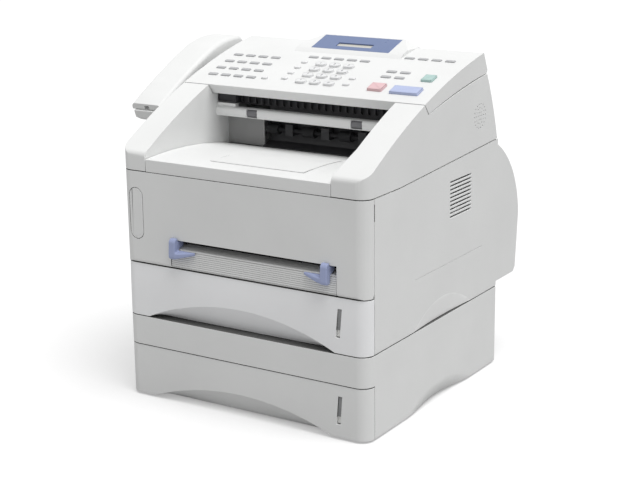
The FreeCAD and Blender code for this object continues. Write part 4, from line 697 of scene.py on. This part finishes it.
arc_normals = [corner.vector.copy() for corner in panel.data.corner_normals]
for face in panel.data.polygons:
    for loop in face.loop_indices:
        spot = panel.data.vertices[panel.data.loops[loop].vertex_index].co
        out = Vector((0, spot.y - panel_arc_y, spot.z - panel_arc_z))
        if abs(out.length - panel_arc_radius) < arc_slack and face.normal.dot(out.normalized()) > 0.995:
            arc_normals[loop] = out.normalized()
panel.data.normals_split_custom_set(arc_normals)
stands_for(panel, "control_panel")

# Display: a blue bezel snapped over a liquid-crystal module, whose glass shows a fine cell grid on a
# warm grey ground.
bezel_blue = grained_plastic("bezel_blue", (0.135, 0.187, 0.35), roughness=0.3, grain=0.05)
# Lighter copy of the bezel blue for rounded edges: a painted highlight.
bezel_rim = grained_plastic("bezel_rim", (0.2, 0.26, 0.46), roughness=0.25, grain=0.05)
moulded_copy("lcd_bezel", soft_edge, bezel_blue, bezel_rim)


def cell_grid(name, ground=(0.65, 0.635, 0.575), line=(0.54, 0.53, 0.48), pitch=1250):
    """The face of a liquid-crystal display at rest: square cells with faint lines between them."""
    glass = bpy.data.materials.new(name)
    glass.use_nodes = True
    nodes, links = glass.node_tree.nodes, glass.node_tree.links
    shader = nodes["Principled BSDF"]
    place = nodes.new("ShaderNodeTexCoord")
    cells = nodes.new("ShaderNodeTexBrick")
    cells.offset = 0
    cells.inputs["Scale"].default_value = pitch
    cells.inputs["Brick Width"].default_value = 1
    cells.inputs["Row Height"].default_value = 1
    cells.inputs["Mortar Size"].default_value = 0.08
    cells.inputs["Color1"].default_value = (*ground, 1)
    cells.inputs["Color2"].default_value = [c * 0.96 for c in ground] + [1]
    cells.inputs["Mortar"].default_value = (*line, 1)
    links.new(place.outputs["Object"], cells.inputs["Vector"])
    links.new(cells.outputs["Color"], shader.inputs["Base Color"])
    shader.inputs["Roughness"].default_value = 0.28
    return glass


painted("lcd_module", cell_grid("display_glass"))

# Keys: caps moulded in coloured ABS that stand through the panel on rubber domes. The one-touch and
# function keys are slim grey bars, the dial keys white and crowned, and start, stop and copy are tinted.
key_grey = grained_plastic("key_grey", (0.47, 0.475, 0.485), roughness=0.45, grain=0.12)
key_white = grained_plastic("key_white", (0.78, 0.785, 0.79), roughness=0.42, grain=0.12)
key_pink = grained_plastic("key_pink", (0.74, 0.5, 0.52), roughness=0.42, grain=0.12)
key_blue = grained_plastic("key_blue", (0.46, 0.52, 0.74), roughness=0.42, grain=0.12)
key_green = grained_plastic("key_green", (0.43, 0.6, 0.57), roughness=0.42, grain=0.12)
large_key_edge = 0.0007
small_key_edge = 0.0004
dial_key_edge = 0.001
moulded_copy("stop_key", large_key_edge, key_pink, key_pink, rounds=3)
moulded_copy("start_key", large_key_edge, key_blue, key_blue, rounds=3)
moulded_copy("copy_key", large_key_edge, key_green, key_green, rounds=3)
white_key_reach = 0.006
white_key_places = [(0.1432, 0.2235), (0.1432, 0.2067), (0.1432, 0.1902), (0.1432, 0.1742),
                    (0.2396, 0.1888), (0.2396, 0.1724), (0.1133, 0.1710)]
for node in ("one_touch_keys", "function_keys"):
    bank = moulded_copy(node, small_key_edge, key_grey, key_grey, rounds=3)
    bank.data.materials.append(key_white)
    for face in bank.data.polygons:
        across, deep = face.center.x - body_low.x, face.center.y - body_low.y
        if any(max(abs(across - x), abs(deep - y)) < white_key_reach for x, y in white_key_places):
            face.material_index = 2

dial_faces = {digit: digit for digit in "1234567890"} | {"star": "*", "hash": "#"}
numeral_size = 0.0062
numeral_height = 0.00005
numeral_sunk = 0.00004
key_top_slack = 0.0002
numeral_grey = grained_plastic("numeral_grey", (0.1, 0.1, 0.11), roughness=0.6, grain=0.05)
for name, sign in dial_faces.items():
    node = "dial_key_" + name
    cap = moulded_copy(node, dial_key_edge, key_white, key_white, rounds=4)
    low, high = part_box(node)
    middle = (Vector(low) + Vector(high)) / 2
    lean = math.asin((panel_arc_y - middle.y) / panel_arc_radius)
    up = Vector((0, -math.sin(lean), math.cos(lean)))
    along = Vector((0, math.cos(lean), math.sin(lean)))
    crown = max(up.dot(v.co) for v in cap.data.vertices)
    tops = [along.dot(v.co) for v in cap.data.vertices if up.dot(v.co) > crown - key_top_slack]
    spot = up * (crown - numeral_sunk) + along * (min(tops) + max(tops)) / 2
    bpy.ops.object.select_all(action="DESELECT")
    bpy.ops.object.text_add(location=(0, 0, 0))
    numeral = bpy.context.object
    numeral.data.body = sign
    numeral.data.size = numeral_size
    numeral.data.extrude = numeral_height
    numeral.data.align_x = "CENTER"
    numeral.data.align_y = "CENTER"
    numeral.data.resolution_u = 4
    bpy.ops.object.convert(target="MESH")
    numeral = bpy.context.object
    numeral.name = "dial_numeral_" + name
    numeral.matrix_world = Matrix.Translation((middle.x, spot.y, spot.z)) @ Matrix.Rotation(lean, 4, "X")
    bpy.ops.object.transform_apply(location=True, rotation=True, scale=True)
    numeral.data.materials.clear()
    numeral.data.materials.append(numeral_grey)
    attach(numeral, frame["nodes"][node]["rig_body"])

# Handset and cradle: the cradle is bolted to the hood's left wall and has a sprung black hook, and the
# handset is two off-white half shells snapped together that lie in it.
painted("hook_switch", dark_plastic)
moulded_copy("handset_cradle", soft_edge, housing_white, housing_rim)
receiver = copied_solid("handset")
mark_creases(24, 181)
receiver.data.materials.clear()
receiver.data.materials.append(housing_white)
bpy.ops.object.shade_smooth(keep_sharp_edges=True)
stands_for(receiver, "handset")

# Painted shade in the seams: the narrow faces that look across a gap to another moulding, and the top
# rims of the lower unit, the cassette fronts and the front cover, are painted dark grey for the shade
# that falls into the seams and the shadow on the ledges under the overhangs.
seal_grey = grained_plastic("seal_grey", (0.13, 0.13, 0.128), roughness=0.85, grain=0.6, drift=0.15,
                            pores=1500, specular=0.1)
gap_shade_reach = 0.0022
gap_shade_widest = 0.02
gap_shade_start = 2e-5
rim_depth = 0.0013
shaded_gap_pieces = ["lower_housing", "lower_cassette_front", "upper_cassette_front", "left_side_cover",
          "right_side_cover", "rear_cover", "front_cover", "blanking_plate", "manual_feed_tray",
          "top_housing", "output_tray", "output_tray_flap", "handset_cradle"]
shaded_on_top = ("lower_housing", "lower_cassette_front", "upper_cassette_front", "front_cover")
bpy.context.view_layer.update()
fitted = bpy.context.evaluated_depsgraph_get()
for node in shaded_gap_pieces:
    piece = bpy.data.objects[node + "_moulding"]
    mesh = piece.data
    mesh.materials.append(seal_grey)
    mesh.calc_loop_triangles()
    facing = {}
    for patch in mesh.loop_triangles:
        start = Vector(patch.center) + Vector(patch.normal) * gap_shade_start
        hit = bpy.context.scene.ray_cast(fitted, start, patch.normal, distance=gap_shade_reach)
        found, neighbour = hit[0], hit[4]
        if found and neighbour.name != piece.name:
            facing[patch.polygon_index] = facing.get(patch.polygon_index, 0) + patch.area
    rim_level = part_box(node)[1].z - rim_depth
    for face in mesh.polygons:
        spots = [mesh.vertices[v].co for v in face.vertices]
        girth = sum((spots[i] - spots[i - 1]).length for i in range(len(spots)))
        narrow = 2 * face.area < gap_shade_widest * girth
        # Seam faces and top rims take the dark grey as painted shade.
        top_rim = node in shaded_on_top and face.normal.z > 0.9 and face.center.z > rim_level
        if top_rim or narrow and facing.get(face.index, 0) > face.area / 2:
            face.material_index = len(mesh.materials) - 1

# Studio: a pale floor without an edge that shows white to the eye and keeps the soft shadow, one broad
# lamp overhead and to the right, and an even sky.
floor_size = 30
floor_bounce = 0.43
floor_seen = 0.62
floor_glow = 0.34
sky_light = 0.55
sky_seen = 1.0
lamp_strength = 2.2
lamp_spread = math.radians(40)
lamp_lean = (math.radians(3), math.radians(19), 0)
bpy.ops.object.select_all(action="DESELECT")
bpy.ops.mesh.primitive_plane_add(size=floor_size, location=(0, 0, 0))
floor = bpy.context.object
floor.name = "floor"
floor_pale = bpy.data.materials.new("floor_pale")
floor_pale.use_nodes = True
nodes, links = floor_pale.node_tree.nodes, floor_pale.node_tree.links
shader = nodes["Principled BSDF"]
looked_at = nodes.new("ShaderNodeLightPath")
paint = nodes.new("ShaderNodeMapRange")
paint.inputs["To Min"].default_value = floor_bounce
paint.inputs["To Max"].default_value = floor_seen
glow = nodes.new("ShaderNodeMapRange")
glow.inputs["To Min"].default_value = 0.0
glow.inputs["To Max"].default_value = floor_glow
links.new(looked_at.outputs["Is Camera Ray"], glow.inputs["Value"])
links.new(glow.outputs["Result"], shader.inputs["Emission Strength"])
shader.inputs["Emission Color"].default_value = (1, 1, 1, 1)
links.new(looked_at.outputs["Is Camera Ray"], paint.inputs["Value"])
links.new(paint.outputs["Result"], shader.inputs["Base Color"])
shader.inputs["Roughness"].default_value = 0.9
shader.inputs["Specular IOR Level"].default_value = 0.0
floor.data.materials.append(floor_pale)

sky = bpy.data.worlds.new("studio_sky")
bpy.context.scene.world = sky
sky.use_nodes = True
nodes, links = sky.node_tree.nodes, sky.node_tree.links
backdrop = nodes["Background"]
seen = nodes.new("ShaderNodeLightPath")
seen_or_mirrored = nodes.new("ShaderNodeMath")
seen_or_mirrored.operation = "MAXIMUM"
or_through_glass = nodes.new("ShaderNodeMath")
or_through_glass.operation = "MAXIMUM"
strength = nodes.new("ShaderNodeMapRange")
strength.inputs["To Min"].default_value = sky_light
strength.inputs["To Max"].default_value = sky_seen
links.new(seen.outputs["Is Camera Ray"], seen_or_mirrored.inputs[0])
links.new(seen.outputs["Is Glossy Ray"], seen_or_mirrored.inputs[1])
links.new(seen_or_mirrored.outputs[0], or_through_glass.inputs[0])
links.new(seen.outputs["Is Transmission Ray"], or_through_glass.inputs[1])
links.new(or_through_glass.outputs[0], strength.inputs["Value"])
links.new(strength.outputs["Result"], backdrop.inputs["Strength"])
backdrop.inputs["Color"].default_value = (1, 1, 1, 1)

bpy.ops.object.light_add(type="SUN", location=(0, 0, 3))
lamp = bpy.context.object
lamp.name = "soft_lamp"
lamp.data.energy = lamp_strength
lamp.data.angle = lamp_spread
lamp.rotation_euler = lamp_lean

# Camera: a long lens about two metres off, above the machine, turned to its front right corner and
# looking a little down.
camera_place = (1.09661, -1.70362, 0.73740)
camera_turn = (math.radians(74.739), math.radians(0.6657), math.radians(32.158))
camera_lens = 85.384
film_width = 36
far_limit = 100
bpy.ops.object.camera_add(location=camera_place, rotation=camera_turn)
camera = bpy.context.object
camera.data.lens = camera_lens
camera.data.sensor_width = film_width
camera.data.clip_end = far_limit
bpy.context.scene.camera = camera
bpy.context.scene.view_settings.view_transform = "Standard"
